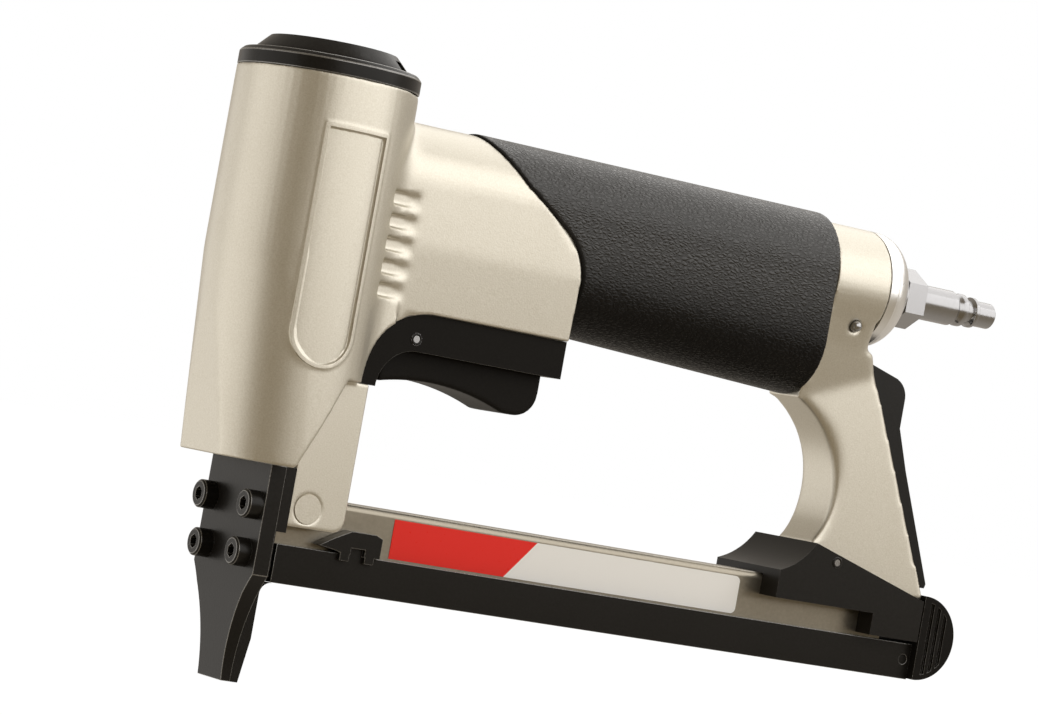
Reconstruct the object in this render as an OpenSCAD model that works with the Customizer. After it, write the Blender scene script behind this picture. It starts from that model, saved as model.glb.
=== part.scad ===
// Pneumatic upholstery stapler with a bottom-loading magazine.
// Millimetres. The origin is the middle of the slot in the nose tip that the staples leave by.
// +X runs back along the magazine, +Z up along the driver, and the side at -Y is the left one.

/* [Head] */
// Outside radius of the head cylinder
head_r = 22.5; // [21:0.5:25]
// Height of the head's top face
head_top_z = 147.7; // [145:0.1:152]
// Height of the head's base
head_base_z = 53.5; // [53:0.1:55]
// Wall round the upper chamber
head_wall = 4; // [3:0.1:4.5]
// Height of the floor under the cylinder sleeve
head_floor_z = 70; // [68:0.5:71]
// Height of the step that carries the sleeve's flange
sleeve_seat_z = 92; // [90:0.5:96]
// Distance of the front facet from the axis at the base
facet_x = 16.5; // [14:0.5:18]
// Height where the front facet runs out
facet_top_z = 96; // [74:1:98]
// Width of the bare panel on the left side
panel_w = 17; // [12:0.5:20]
// Height of the panel's square top
panel_top_z = 136; // [125:1:140]
// Height of the panel's round bottom
panel_bottom_z = 78; // [76:1:90]
// Width of the panel's raised rim
panel_rim = 0.8; // [0.6:0.1:1.5]
// Depth of the panel under its rim
panel_depth = 0.9; // [0.4:0.1:1.2]

/* [Cap] */
// Thickness of the cap's disc
cap_t = 4.5; // [3.5:0.1:5]
// Depth of the cap's spigot in the head
cap_spigot = 4.4; // [4:0.1:4.6]
// Height of the exhaust cover
cover_h = 3.8; // [2.6:0.1:4]
// Radius of the exhaust cover at its base
cover_r = 19; // [17:0.1:20]
// Radius of the exhaust cover at its top
cover_top_r = 16.4; // [15:0.1:17]

/* [Drive] */
// Radius of the piston
piston_r = 11.8; // [11:0.1:12]
// Height of the piston
piston_h = 7; // [6.5:0.5:8]
// Height of the piston's underside at rest
piston_z = 127; // [125:0.5:128]
// Travel of the piston and driver
drive_stroke = 47.5; // [40:0.5:47.5]
// Wall of the cylinder sleeve
sleeve_wall = 1.5; // [1.2:0.1:1.5]
// Top of the cylinder sleeve
sleeve_top_z = 136; // [135:0.5:136]
// Width of the driver blade
driver_w = 10.6; // [9:0.1:10.8]
// Thickness of the driver blade
driver_t = 1; // [0.8:0.1:1.1]
// Height of the driver's tip at rest
driver_tip_z = 48; // [47.8:0.1:50]
// Travel of the head valve
valve_lift = 2.5; // [1.5:0.1:3]

/* [Handle] */
// Radius of the handle's round top and bottom
handle_r = 14; // [13:0.5:15]
// Height of the handle's top
handle_top_z = 141.5; // [141:0.1:143]
// Height of the lower round's axis at the grip's front
handle_low_z = 113.2; // [111:0.1:115]
// Fall of the handle's underside towards the rear, in degrees
handle_tilt = 2.6; // [1.5:0.1:3]
// Thickness of the rubber grip
grip_t = 1.5; // [1:0.1:2]
// Height that the grip stands proud of the neck in front of it
grip_lip = 0.6; // [0.3:0.1:1]
// Front edge of the grip along the top
grip_front_x = 42; // [40:0.5:44]
// Length of the neck's side behind that edge
shield_len = 30.7; // [29:0.1:31]
// Radius of the round at the side's rear
grip_front_r = 16; // [14:0.5:18]
// Height of that round's centre
grip_front_z = 110; // [108:0.5:112]
// Radius of the hollow between head and neck
root_r = 14; // [10:0.5:16]
// Rear edge of the grip
grip_rear_x = 150; // [146:0.5:151]
// Radius of the handle's round rear end
end_r = 15.5; // [15:0.1:16.5]
// Height of the air inlet's axis
end_axis_z = 125.7; // [125:0.1:126.5]
// Length of the handle's round end behind the grip
end_len = 17.5; // [16:0.5:20]
// Radius of the air reservoir's bore
reservoir_r = 11; // [10:0.1:11]
// Half the width of the skirt over the trigger, at its foot
skirt_half_w = 13; // [12.8:0.1:14]

/* [Leg] */
// Half the width of the leg at its front edge
leg_half_w = 8.3; // [7.5:0.1:9]
// Half the width of the leg at its foot's rear end
leg_rear_half_w = 11.5; // [10.5:0.1:12]
// Half the width of the leg's front nose
leg_nose_half_w = 7.2; // [5.5:0.1:7.5]
// Distance of the finger gap's rear round ahead of the grip's rear edge
gap_lead = 10; // [8:0.5:12]
// Centre of the finger gap's rear round, height
gap_z = 70; // [69:0.5:72]
// Radius of the finger gap's rear round
gap_r = 26; // [25.5:0.1:26.5]
// Rise of the flanks' round over the nose's
nose_step = 2.7; // [1.5:0.1:3]
// Distance of the leg's rear edge at its foot behind the grip
leg_back = 48.7; // [47:0.1:49]
// Slope of the leg's rear edge from the vertical, in degrees
leg_lean = 25; // [24.5:0.1:26]

/* [Trigger] */
// Pivot of the trigger, along X
trigger_pin_x = 30; // [29:0.1:32]
// Pivot of the trigger, height
trigger_pin_z = 89.5; // [88.5:0.1:90]
// Radius of the trigger pin
trigger_pin_r = 1.5; // [1.2:0.1:2]
// Height of the casting's edge over the trigger housing
housing_top_z = 96; // [95.5:0.1:96.5]
// Underside of the housing's side walls
housing_low_z = 86.5; // [85:0.5:87]
// Rear end of the housing
housing_rear_x = 73; // [72:0.1:74]
// Half the width of the housing
housing_half_w = 12.6; // [12:0.1:13]
// Half the width of the trigger
trigger_half_w = 8.4; // [7.8:0.1:8.6]
// Full pull of the trigger, in degrees
trigger_pull = 7.5; // [5:0.1:7.5]
// Trigger valve, along X
valve_x = 54; // [50:0.5:56]
// Radius of the trigger valve's body
valve_r = 6; // [5.5:0.1:6.5]

/* [Nose] */
// Half the width of the front plate
plate_half_w = 15.6; // [14.8:0.1:16.5]
// Half the width of the nose tip
tip_half_w = 6.2; // [6:0.1:7]
// Radius of the front plate's drawn-in sides
flare_r = 40; // [36:1:44]
// Front face of the front plate, ahead of the driver
plate_front = 4.8; // [4.4:0.1:5.4]
// Front face of the nose tip, ahead of the driver
tip_front = 3.2; // [2.8:0.1:4]
// Height up to which the front plate thins towards the tip
tip_taper_z = 22; // [15:1:24]
// Rear face of the driver guide
guide_rear = 3; // [2.8:0.1:3.2]
// Height of the upper pair of nose screws
screw_high_z = 43.2; // [42:0.1:45]
// Spread of the upper pair from the middle
screw_high_y = 11.8; // [11.4:0.1:11.8]
// Height of the lower pair of nose screws
screw_low_z = 31.5; // [30.5:0.1:33]
// Spread of the lower pair from the middle
screw_low_y = 10; // [9.6:0.1:10.4]
// Radius of the screws' thread
screw_r = 2; // [1.5:0.1:2]

/* [Magazine] */
// Half the width of the fixed rail
rail_half_w = 7; // [6.8:0.1:7.1]
// Wall of the rail
rail_wall = 1.2; // [1:0.1:1.2]
// Top of the rail
rail_top_z = 47; // [46.8:0.1:47.2]
// Distance of the rail's rear end ahead of the leg's rear edge
rail_inset = 8.9; // [8.7:0.1:10]
// Half the width of the sliding channel
channel_half_w = 10; // [9.8:0.1:10.2]
// Wall of the channel
channel_wall = 1.5; // [1.3:0.1:1.6]
// Underside of the channel
channel_low_z = 25.3; // [25:0.1:25.6]
// Top edge of the channel's walls
channel_top_z = 34.8; // [34.4:0.1:35]
// Distance of the channel's rear end behind the leg's rear edge
channel_overhang = 0.1; // [0.1:0.1:1.5]
// Travel of the channel
channel_travel = 146; // [100:1:148]
// Half the width of the ear
ear_half_w = 14.6; // [14:0.1:15]
// Rear edge of the ear
ear_rear_x = 18.2; // [17:0.1:19]
// Underside of the ear
ear_low_z = 39.5; // [39.3:0.1:40]
// Distance of the rear bracket's front face ahead of the grip's rear edge
bracket_lead = 1.4; // [0:0.1:4]
// Length of the bracket's raised edge, up to the face that stops the clips
bracket_notch = 33; // [32:0.1:34.4]
// Wall of the bracket beside the leg
bracket_wall = 3.1; // [2.5:0.1:3.5]
// Height of the bracket over its raised edge
bracket_h = 15.7; // [14:0.1:17]
// Underside of the bracket over the clips
bracket_low_z = 41.5; // [41.3:0.1:42.5]
// Radius of the bracket's hollow front
bracket_round = 20; // [14:0.5:30]
// Half the width of the end pull
pull_half_w = 12.5; // [11.5:0.1:13.5]
// Half the height of the end pull
pull_r = 11.3; // [10.8:0.1:11.4]
// Travel of the pusher
pusher_travel = 95; // [60:1:100]
// Half the width of the staple core
core_half_w = 4.75; // [4.5:0.05:4.8]

/* [Latch] */
// Distance of the latch lever's pivot ahead of the leg's rear edge
latch_inset = 16.2; // [15.2:0.1:17.2]
// Pivot of the latch lever, height
latch_pin_z = 72; // [70:0.5:74]
// Half the width of the latch lever
latch_half_w = 6.5; // [5.5:0.1:6.8]
// Depth of the slot in the leg's rear
slot_depth = 9; // [8.6:0.1:10]
// Full press of the latch lever, in degrees
latch_press = 6; // [4:0.1:6]

/* [Hidden] */
$fn = 64;

// Colours
champagne = [0.80, 0.76, 0.66];
black_paint = [0.14, 0.13, 0.12];
black_rubber = [0.10, 0.10, 0.10];
rail_grey = [0.45, 0.41, 0.35];
bright_steel = [0.80, 0.80, 0.82];
dark_steel = [0.35, 0.35, 0.37];
brass = [0.78, 0.63, 0.33];
seal_black = [0.18, 0.18, 0.18];

// Clearances
run_gap = 0.3;
seat_gap = 0.02;
pin_gap = 0.05;
cut_over = 1;

// Head and drive
panel_x = -0.8;
panel_lip = 0.25;
head_bore_r = head_r - head_wall;
sleeve_bore_r = piston_r + run_gap;
sleeve_r = sleeve_bore_r + sleeve_wall;
lower_bore_r = sleeve_r + pin_gap;
sleeve_flange_t = 4;
bumper_top_z = piston_z - drive_stroke - run_gap;
bumper_hole_r = driver_w / 2 + run_gap;
driver_slot_half_w = driver_w / 2 + 0.2;
driver_slot_half_t = driver_t / 2 + 0.1;
ring_h = 2.4;
ring_depth = 1.6;
piston_pin_r = 1.5;
piston_pin_z = piston_z + 2.6;
valve_disc_r = head_bore_r - 1.7;
valve_skirt_r = valve_disc_r - 1.4;
valve_skirt_wall = 2.4;
valve_hole_r = 6.8;
valve_base_z = sleeve_top_z + run_gap;
cap_low_z = head_top_z - cap_spigot;
valve_disc_z = cap_low_z - valve_lift - run_gap;
cap_groove_z = cap_low_z + 1;
cap_bore_r = valve_skirt_r + pin_gap;
cap_roof_z = head_top_z + 1.4;
valve_top_z = cap_roof_z - valve_lift - run_gap;
cap_top_z = head_top_z + cap_t;
cap_boss_r = 5;
cap_boss_low_z = head_top_z - 3.4;
cover_screw_r = 2.5;
cover_screw_head_r = 4.3;
cover_screw_head_h = 1.5;
cover_hollow_r = cover_top_r - 2;

// Handle
handle_axis_z = handle_top_z - handle_r;
low_front_x = grip_front_x + shield_len;
shield_r = handle_r + grip_t;
neck_r = shield_r - grip_lip;
skirt_top_z = grip_front_z + 2;
skirt_rear_x = low_front_x;
function low_axis_z(x) = handle_low_z - (x - low_front_x) * tan(handle_tilt);

// Trigger housing outline
housing_arc_r = housing_top_z - 76.4;
housing_arc_x = 34;
housing_foot_z = housing_top_z - housing_arc_r;
housing_inner_r = housing_low_z - housing_foot_z;
housing_inner_x = 31;
housing_roof = 2.5;
housing_wall = housing_half_w - trigger_half_w - 0.9;
trigger_wall = 1.4;
trigger_floor_z = trigger_pin_z - 5.5;
trigger_hub_r = 4.4;
valve_neck_r = valve_r - 1;
valve_collar_r = valve_r + 0.4;
valve_roof_z = end_axis_z - reservoir_r - 3.2;
stem_r = 1.8;
stem_low_z = trigger_floor_z + 0.4;
stem_head_z = housing_top_z + 4;
stem_head_h = 3;
stem_head_r = valve_r - 2.2;
valve_chamber_r = valve_r - 1.8;
valve_chamber_low_z = housing_top_z + 2;

// Leg and latch
gap_x = grip_rear_x - gap_lead;
leg_rear_x = grip_rear_x + leg_back;
leg_base_z = rail_top_z;
leg_top_z = end_axis_z;
leg_foot_top_z = bracket_low_z + bracket_h;
leg_foot_x = gap_x + sqrt(gap_r * gap_r - pow(gap_z - leg_foot_top_z, 2)) - 0.4;
slot_top_z = end_axis_z - end_r - 1.2;
latch_pin_x = leg_rear_x - latch_inset;
slot_half_w = latch_half_w + run_gap + 0.1;
latch_pin_r = 1.5;
latch_pin_blind = 2;
lever_inset = 4;
lever_low_z = rail_top_z + 3;
bracket_front_x = grip_rear_x - bracket_lead;
bracket_stop_x = bracket_front_x + bracket_notch;
bracket_half_w = leg_rear_half_w + bracket_wall;
bracket_pin_inset = 4.4;
bracket_pin_x = leg_foot_x + bracket_pin_inset;
bracket_pin_r = 1.5;
bracket_pin_z = rail_top_z + 4 * bracket_pin_r;
leg_front_x = gap_x + gap_r;
function leg_rear_at(z) = leg_rear_x - (z - leg_base_z) * tan(leg_lean);
function leg_half_at(x) =
    leg_half_w + (x - leg_front_x) * (leg_rear_half_w - leg_half_w) / (leg_rear_x - leg_front_x);
latch_wall = leg_half_at(latch_pin_x);
saddle_low = [bracket_front_x, rail_top_z + 1.8];
saddle_high = [bracket_front_x + 10.5, leg_foot_top_z];
saddle_mid = (saddle_low + saddle_high) / 2;
saddle_rise = saddle_high - saddle_low;
saddle_turn = [-saddle_rise[1], saddle_rise[0]] / norm(saddle_rise);
saddle_centre = saddle_mid + saddle_turn * sqrt(pow(bracket_round, 2) - pow(norm(saddle_rise) / 2, 2));

// Magazine
rail_rear_x = leg_rear_x - rail_inset;
channel_rear_x = leg_rear_x + channel_overhang;
rail_front_x = guide_rear + 0.2;
rail_low_z = channel_low_z + 2.7;
rail_flange_half_w = channel_half_w - channel_wall - run_gap;
rail_flange_t = 1.2;
channel_front_x = guide_rear + 0.4;
channel_floor_z = channel_low_z + channel_wall;
channel_lip = 1.1;
ear_front_x = guide_rear - 0.6;
rail_pin_x = ear_front_x + 5.1;
rail_pin_z = ear_low_z + 4.7;
rail_pin_r = 3.6;
rail_peg_r = 1.5;
rail_pin_disc_y = ear_half_w - 0.5;
screw_high_end_x = rail_pin_x - rail_peg_r - 0.6;
tab_x = 23.2;
tab_w = 4;
tab_top_z = channel_top_z + 1.8;
core_top_z = rail_top_z - rail_wall - 1.6;
core_wall = 1;
core_front_x = channel_front_x + 0.6;
core_rear_x = rail_rear_x + 0.4;
core_slot_half_w = 1.5;
rod_r = 1.5;
rod_z = channel_floor_z + 4.2;
rod_rear_x = core_rear_x + 3;
pusher_front_x = guide_rear + 0.4;
pusher_len = 16;
pusher_block_x = core_front_x + 3;
pusher_block_len = 8;
pull_x = channel_rear_x;
pull_flat = 0.3;
pull_z = channel_low_z + pull_r + 0.3;
plug_low_z = channel_floor_z + 0.1;
channel_pin_x = channel_rear_x - 2.3;
channel_pin_z = channel_low_z + 5.2;
channel_pin_r = 1.3;
bracket_rear_x = channel_rear_x - 0.6;
bracket_rear_half_w = leg_rear_half_w + 1.2;
function bracket_half_at(x) =
    bracket_half_w
    + (x - bracket_front_x) * (bracket_rear_half_w - bracket_half_w) / (bracket_rear_x - bracket_front_x);
bracket_foot_z = channel_top_z + 0.9;

// Air inlet
end_x = grip_rear_x + end_len;
dome_len = 9;
dome_x = end_x + dome_len;
dome_r = 8.5;
spigot_r = reservoir_r - pin_gap;
spigot_len = 15.5;
inlet_bore_r = 6.5;
end_pin_x = end_x - 6.8;
end_pin_r = 1.5;
end_pin_z = end_axis_z - reservoir_r + 0.3;
hex_af = 14;
hex_x = dome_x + 3.1;
hex_len = 6.2;
plug_body_len = 13.7;
plug_body_end = hex_x + hex_len + plug_body_len;
plug_bore_r = 2.2;

// A flat outline in X and Z, thickened to both sides of the middle plane
module across(half_w) {
    rotate([90, 0, 0])
        translate([0, 0, -half_w])
            linear_extrude(2 * half_w) children();
}

// A flat outline in X and Z, thickened between two distances on both sides
module both_sides(inner, outer) {
    for (side = [-1, 1])
        translate([0, side * (inner + outer) / 2, 0])
            across((outer - inner) / 2) children();
}

// A round bar along Y
module pin_y(x, z, r, half_w) {
    translate([x, 0, z]) across(half_w) circle(r);
}

// A round bar along X
module bar_x(x0, x1, z, r) {
    translate([x0, 0, z]) rotate([0, 90, 0]) cylinder(r = r, h = x1 - x0);
}

// A round bar along Z
module bar_z(z0, z1, r) {
    translate([0, 0, z0]) cylinder(r = r, h = z1 - z0);
}

// A plain ring round Z
module ring_z(z0, z1, inner, outer) {
    difference() {
        bar_z(z0, z1, outer);
        bar_z(z0 - cut_over, z1 + cut_over, inner);
    }
}

// A block between two corners
module block(x0, x1, half_w, z0, z1) {
    translate([x0, -half_w, z0]) cube([x1 - x0, 2 * half_w, z1 - z0]);
}

// Coil springs: one unbroken tube along a helix round Z
coil_rings = 8;
coil_sides = 6;

function coil_point(r, length, turns, t) =
    [r * cos(360 * turns * t), r * sin(360 * turns * t), length * t];

function coil_path(r, length, turns) =
    [for (i = [0 : coil_rings * turns]) coil_point(r, length, turns, i / (coil_rings * turns))];

function coil_ring(r, length, turns, wire_r, t) =
    let (a = 360 * turns * t)
    let (slope = atan2(length, 2 * PI * r * turns))
    let (c = coil_point(r, length, turns, t))
    let (out = [cos(a), sin(a), 0])
    let (lift = [sin(a) * sin(slope), -cos(a) * sin(slope), cos(slope)])
    [for (k = [0 : coil_sides - 1])
        c + wire_r * (out * cos(360 * k / coil_sides) + lift * sin(360 * k / coil_sides))];

function least_gap(path, wire_r) =
    min([for (i = [0 : len(path) - 1])
        for (j = [i + coil_rings / 2 : 1 : len(path) - 1]) norm(path[i] - path[j])]) - 2 * wire_r;

module coil(name, r, length, turns, wire_r) {
    rings = coil_rings * turns;
    points = [for (i = [0 : rings]) each coil_ring(r, length, turns, wire_r, i / rings)];
    walls = [for (i = [0 : rings - 1]) for (k = [0 : coil_sides - 1])
        let (a = i * coil_sides + k)
        let (b = i * coil_sides + (k + 1) % coil_sides)
        each [[a, a + coil_sides, b], [b, a + coil_sides, b + coil_sides]]];
    first_end = [for (k = [1 : coil_sides - 2]) [0, k, k + 1]];
    last = rings * coil_sides;
    last_end = [for (k = [1 : coil_sides - 2]) [last, last + k + 1, last + k]];
    echo(spring = name, least_gap_mm = least_gap(coil_path(r, length, turns), wire_r));
    polyhedron(points, concat(walls, first_end, last_end));
}

// Main casting

// The bare panel's outline, square at the top and round at the bottom
module panel_outline(inset) {
    w = panel_w / 2 - inset;
    round_z = panel_bottom_z + panel_w / 2;
    translate([-w, round_z]) square([2 * w, panel_top_z - inset - round_z]);
    translate([0, round_z]) circle(w);
}

// A skin of the head on its left side, between two radii
module head_skin(inner, outer, inset) {
    intersection() {
        ring_z(panel_bottom_z - cut_over, panel_top_z + cut_over, inner, outer);
        translate([panel_x, -head_r, 0]) across(head_r / 2) panel_outline(inset);
    }
}

module head_body() {
    lean = 3.8;
    lean_z = 110;
    lean_r = head_r + 0.4;
    difference() {
        bar_z(head_base_z, head_top_z, head_r);
        difference() {
            block(-head_r - 1, 0, head_r + 1, head_base_z - 1, lean_z);
            translate([0, 0, lean_z])
                rotate([0, -lean, 0])
                    translate([0, 0, -lean_z]) cylinder(r = lean_r, h = 2 * lean_z);
        }
        across(head_r + cut_over)
            polygon([
                [-facet_x, head_base_z - cut_over], [-facet_x, head_base_z], [-head_r, facet_top_z],
                [-head_r - cut_over, facet_top_z], [-head_r - cut_over, head_base_z - cut_over]
            ]);
        across(head_r + cut_over)
            polygon([
                [-2, head_base_z - cut_over], [-2, head_base_z], [9, housing_foot_z],
                [head_r + cut_over, housing_foot_z], [head_r + cut_over, head_base_z - cut_over]
            ]);
    }
}

module ear_outline() {
    corner = 3;
    polygon([
        [ear_front_x, ear_low_z], [ear_rear_x - corner, ear_low_z], [ear_rear_x, ear_low_z + corner],
        [ear_rear_x, housing_foot_z], [ear_front_x, housing_foot_z + 8]
    ]);
    translate([ear_rear_x - corner, ear_low_z + corner]) circle(corner);
}

// The handle's section, swept from front to rear: round top, flat sides and a falling round bottom
module handle_shape(r, x0, x1) {
    bar_x(x0, x1, handle_axis_z, r);
    across(r)
        polygon([
            [x0, low_axis_z(x0)], [x1, low_axis_z(x1)], [x1, handle_axis_z], [x0, handle_axis_z]
        ]);
    intersection() {
        translate([low_front_x, 0, handle_low_z])
            rotate([0, 90 + handle_tilt, 0])
                translate([0, 0, -low_front_x]) cylinder(r = r, h = 2 * x1);
        block(x0, x1, r + cut_over, housing_foot_z, handle_axis_z);
    }
}

// The part of the handle that stands in front of the grip's curved edge
module shield_outline(gap) {
    round_x = low_front_x - grip_front_r;
    slope = 57;
    waist = [grip_front_x + 11, handle_axis_z + 4.6];
    reach = grip_front_r + gap;
    polygon([
        [0, housing_foot_z], [low_front_x + gap, housing_foot_z], [low_front_x + gap, grip_front_z],
        [round_x + reach * cos(slope), grip_front_z + reach * sin(slope)], waist + [gap, 0],
        [grip_front_x + gap, handle_top_z + grip_t], [grip_front_x + gap, head_top_z], [0, head_top_z]
    ]);
    translate([round_x, grip_front_z]) circle(reach);
}

// The leg from the side, its front round raised over the nose's by a given height
module leg_outline(rise) {
    top_x = grip_rear_x + 0.2;
    difference() {
        polygon([
            [top_x, leg_base_z], [bracket_rear_x, leg_base_z],
            [bracket_rear_x, leg_base_z + (leg_rear_x - bracket_rear_x) / tan(leg_lean)],
            [leg_rear_at(slot_top_z), slot_top_z], [end_x, slot_top_z + 0.6],
            [end_x, leg_top_z], [top_x, leg_top_z]
        ]);
        translate([gap_x + rise / 3, gap_z + rise]) circle(gap_r);
        translate([0, leg_base_z - cut_over])
            square([leg_foot_x, leg_foot_top_z + seat_gap - leg_base_z + cut_over]);
    }
}

// The leg from above, a little wider towards the rear
module leg_plan(gap) {
    front_x = gap_x;
    rear_x = leg_rear_x + cut_over;
    front_w = leg_half_at(front_x) + gap;
    rear_w = leg_half_at(rear_x) + gap;
    polygon([[front_x, -front_w], [rear_x, -rear_w], [rear_x, rear_w], [front_x, front_w]]);
}

// The leg, drawn out at its top to meet the handle's round end
module leg() {
    flare_low_z = 94;
    flare_mid_z = 110;
    flare_w = leg_half_at(grip_rear_x);
    flare_mid_w = flare_w + 3.8;
    intersection() {
        union() {
            across(leg_nose_half_w) leg_outline(0);
            across((leg_nose_half_w + leg_half_w) / 2) leg_outline(nose_step / 2);
            across(end_r) leg_outline(nose_step);
        }
        union() {
            linear_extrude(slot_top_z) leg_plan(0);
            along_x(grip_rear_x, leg_rear_x)
                polygon([
                    [-flare_w, flare_low_z], [flare_w, flare_low_z], [flare_mid_w, flare_mid_z],
                    [end_r - 0.1, end_axis_z], [-end_r + 0.1, end_axis_z], [-flare_mid_w, flare_mid_z]
                ]);
        }
    }
}

module latch_slot_outline() {
    reach = slot_depth / cos(leg_lean);
    low_z = leg_base_z - cut_over;
    polygon([
        [leg_rear_at(low_z) - reach, low_z], [leg_rear_x + 9, low_z],
        [leg_rear_at(slot_top_z) + 9, slot_top_z], [leg_rear_at(slot_top_z) - reach, slot_top_z]
    ]);
}

// The hollow between head and neck on both sides, with five slots that leave ribs between them
root_y = neck_r + root_r;
root_x = sqrt(pow(head_r + root_r, 2) - root_y * root_y);
root_start_x = root_x * head_r / (head_r + root_r);
root_start_y = root_y * head_r / (head_r + root_r);

module neck_root() {
    for (side = [-1, 1])
        translate([0, 0, housing_foot_z])
            linear_extrude(handle_axis_z - housing_foot_z)
                difference() {
                    translate([root_start_x, side > 0 ? 0 : -root_start_y])
                        square([root_x - root_start_x, root_start_y]);
                    translate([root_x, side * root_y]) circle(root_r);
                }
    // the same hollow round the neck's top
    intersection() {
        translate([0, 0, handle_axis_z])
            rotate([0, 90, 0])
                rotate_extrude()
                    rotate(90) mirror([0, 1])
                        difference() {
                            translate([root_start_x, 0]) square([root_x - root_start_x, root_start_y]);
                            translate([root_x, root_y]) circle(root_r);
                        }
        block(root_start_x - cut_over, root_x + cut_over, head_r, handle_axis_z, head_top_z);
    }
}

module neck_slots() {
    slots = 5;
    pitch = 5.65;
    slot_h = 3.5;
    sink = 0.6;
    first_slot_z = 124;
    slot_x = root_start_x + 0.6;
    end_x = root_x + 0.6;
    depth = head_r - neck_r + sink;
    for (side = [-1, 1], i = [0 : slots - 1])
        translate([slot_x, side > 0 ? neck_r - sink : -head_r, first_slot_z - slot_h - i * pitch])
            cube([end_x - slot_x, depth, slot_h]);
}

module main_casting() {
    color(champagne)
    difference() {
        union() {
            difference() {
                union() {
                    head_body();
                    intersection() {
                        handle_shape(neck_r, 0, low_front_x + 2);
                        across(shield_r + cut_over) shield_outline(0);
                    }
                    intersection() {
                        across(neck_r) shield_outline(0);
                        along_x(0, skirt_rear_x)
                            polygon([
                                [-skirt_half_w, housing_foot_z], [skirt_half_w, housing_foot_z],
                                [neck_r, skirt_top_z], [neck_r, handle_axis_z],
                                [-neck_r, handle_axis_z], [-neck_r, skirt_top_z]
                            ]);
                    }
                    across(ear_half_w) ear_outline();
                    neck_root();
                }
                across(head_r + cut_over) housing_outline(seat_gap);
                neck_slots();
            }
            handle_shape(handle_r, grip_front_x - 4, grip_rear_x + 1);
            bar_x(grip_rear_x + 0.2, end_x, end_axis_z, end_r);
            leg();
            head_skin(head_r - cut_over, head_r + panel_lip, 0);
        }
        head_skin(head_r + panel_lip - panel_depth, head_r + cut_over, panel_rim);
        // upper chamber, cylinder bore and driver slot
        bar_z(sleeve_seat_z, head_top_z + cut_over, head_bore_r);
        bar_z(head_floor_z, sleeve_seat_z + cut_over, lower_bore_r);
        block(-driver_slot_half_t, driver_slot_half_t, driver_slot_half_w, head_base_z - cut_over,
            head_floor_z + cut_over);
        // air reservoir and trigger valve
        bar_x(head_bore_r - 4, end_x + cut_over, end_axis_z, reservoir_r);
        translate([valve_x, 0, 0]) bar_z(housing_top_z - cut_over, end_axis_z, valve_r + pin_gap);
        // rail passage in the ear, with its pins and the upper nose screws
        block(ear_front_x - cut_over, ear_rear_x + cut_over, rail_half_w + seat_gap,
            ear_low_z - cut_over, rail_top_z + seat_gap);
        pin_y(rail_pin_x, rail_pin_z, rail_peg_r + seat_gap, ear_half_w + cut_over);
        both_sides(rail_pin_disc_y, ear_half_w + cut_over)
            translate([rail_pin_x, rail_pin_z]) circle(rail_pin_r + seat_gap);
        for (side = [-1, 1])
            translate([0, side * screw_high_y, 0])
                bar_x(ear_front_x - cut_over, screw_high_end_x + 0.2, screw_high_z, screw_r + seat_gap);
        // leg: slot of the latch lever, its pin from the right side, and the pins of bracket and end cap
        across(slot_half_w) latch_slot_outline();
        translate([0, (latch_pin_blind + cut_over) / 2, 0])
            pin_y(latch_pin_x, latch_pin_z, latch_pin_r + seat_gap,
                latch_wall + (cut_over - latch_pin_blind) / 2);
        pin_y(bracket_pin_x, bracket_pin_z, bracket_pin_r + seat_gap, bracket_half_w);
        pin_y(end_pin_x, end_pin_z, end_pin_r + seat_gap, end_r + cut_over);
    }
}

// Cap

module cylinder_cap() {
    chamfer = 1.1;
    vent_r = 1.6;
    vent_at = 9;
    color(black_paint)
    difference() {
        union() {
            rotate_extrude()
                polygon([
                    [0, head_top_z], [head_r, head_top_z], [head_r, cap_top_z - chamfer],
                    [head_r - chamfer, cap_top_z], [0, cap_top_z]
                ]);
            bar_z(cap_low_z, head_top_z, head_bore_r - pin_gap);
        }
        bar_z(cap_low_z - cut_over, cap_roof_z, cap_bore_r);
        ring_z(cap_groove_z, cap_groove_z + ring_h, head_bore_r - ring_depth, head_r);
        for (i = [0 : 5])
            rotate(60 * i) translate([vent_at, 0, 0]) bar_z(cap_low_z, cap_top_z + cut_over, vent_r);
        bar_z(cap_low_z, cap_top_z + cut_over, cover_screw_r + seat_gap);
    }
    color(black_paint) ring_z(cap_boss_low_z, cap_roof_z, cover_screw_r + seat_gap, cap_boss_r);
}

module exhaust_cover() {
    chamfer = 0.7;
    top_z = cap_top_z + cover_h;
    skin = 1.3;
    port_w = 4;
    ports = 5;
    color(black_paint)
    difference() {
        rotate_extrude()
            polygon([
                [0, cap_top_z], [cover_r, cap_top_z], [cover_r - 0.2, cap_top_z + 0.6],
                [cover_top_r, top_z - chamfer], [cover_top_r - chamfer, top_z], [0, top_z]
            ]);
        ring_z(cap_top_z - cut_over, top_z - skin, cover_screw_head_r + 1, cover_hollow_r);
        bar_z(cap_top_z - cut_over, top_z + cut_over, cover_screw_r + seat_gap);
        bar_z(top_z - cover_screw_head_h, top_z + cut_over, cover_screw_head_r + seat_gap);
        for (i = [0 : ports - 1])
            rotate(24 * (i - (ports - 1) / 2))
                block(cover_hollow_r - cut_over, cover_r + cut_over, port_w / 2, cap_top_z - cut_over,
                    top_z - skin);
    }
}

module cover_screw() {
    top_z = cap_top_z + cover_h;
    socket_af = 3;
    color(dark_steel)
    difference() {
        union() {
            bar_z(top_z - cover_screw_head_h, top_z - 0.1, cover_screw_head_r);
            bar_z(cap_boss_low_z, top_z - cover_screw_head_h, cover_screw_r);
        }
        translate([0, 0, top_z - 1.1]) cylinder(r = socket_af / sqrt(3), h = 2, $fn = 6);
    }
}

module cap_seal() {
    color(seal_black)
        ring_z(cap_groove_z, cap_groove_z + ring_h, head_bore_r - ring_depth, head_bore_r - seat_gap);
}

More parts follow.
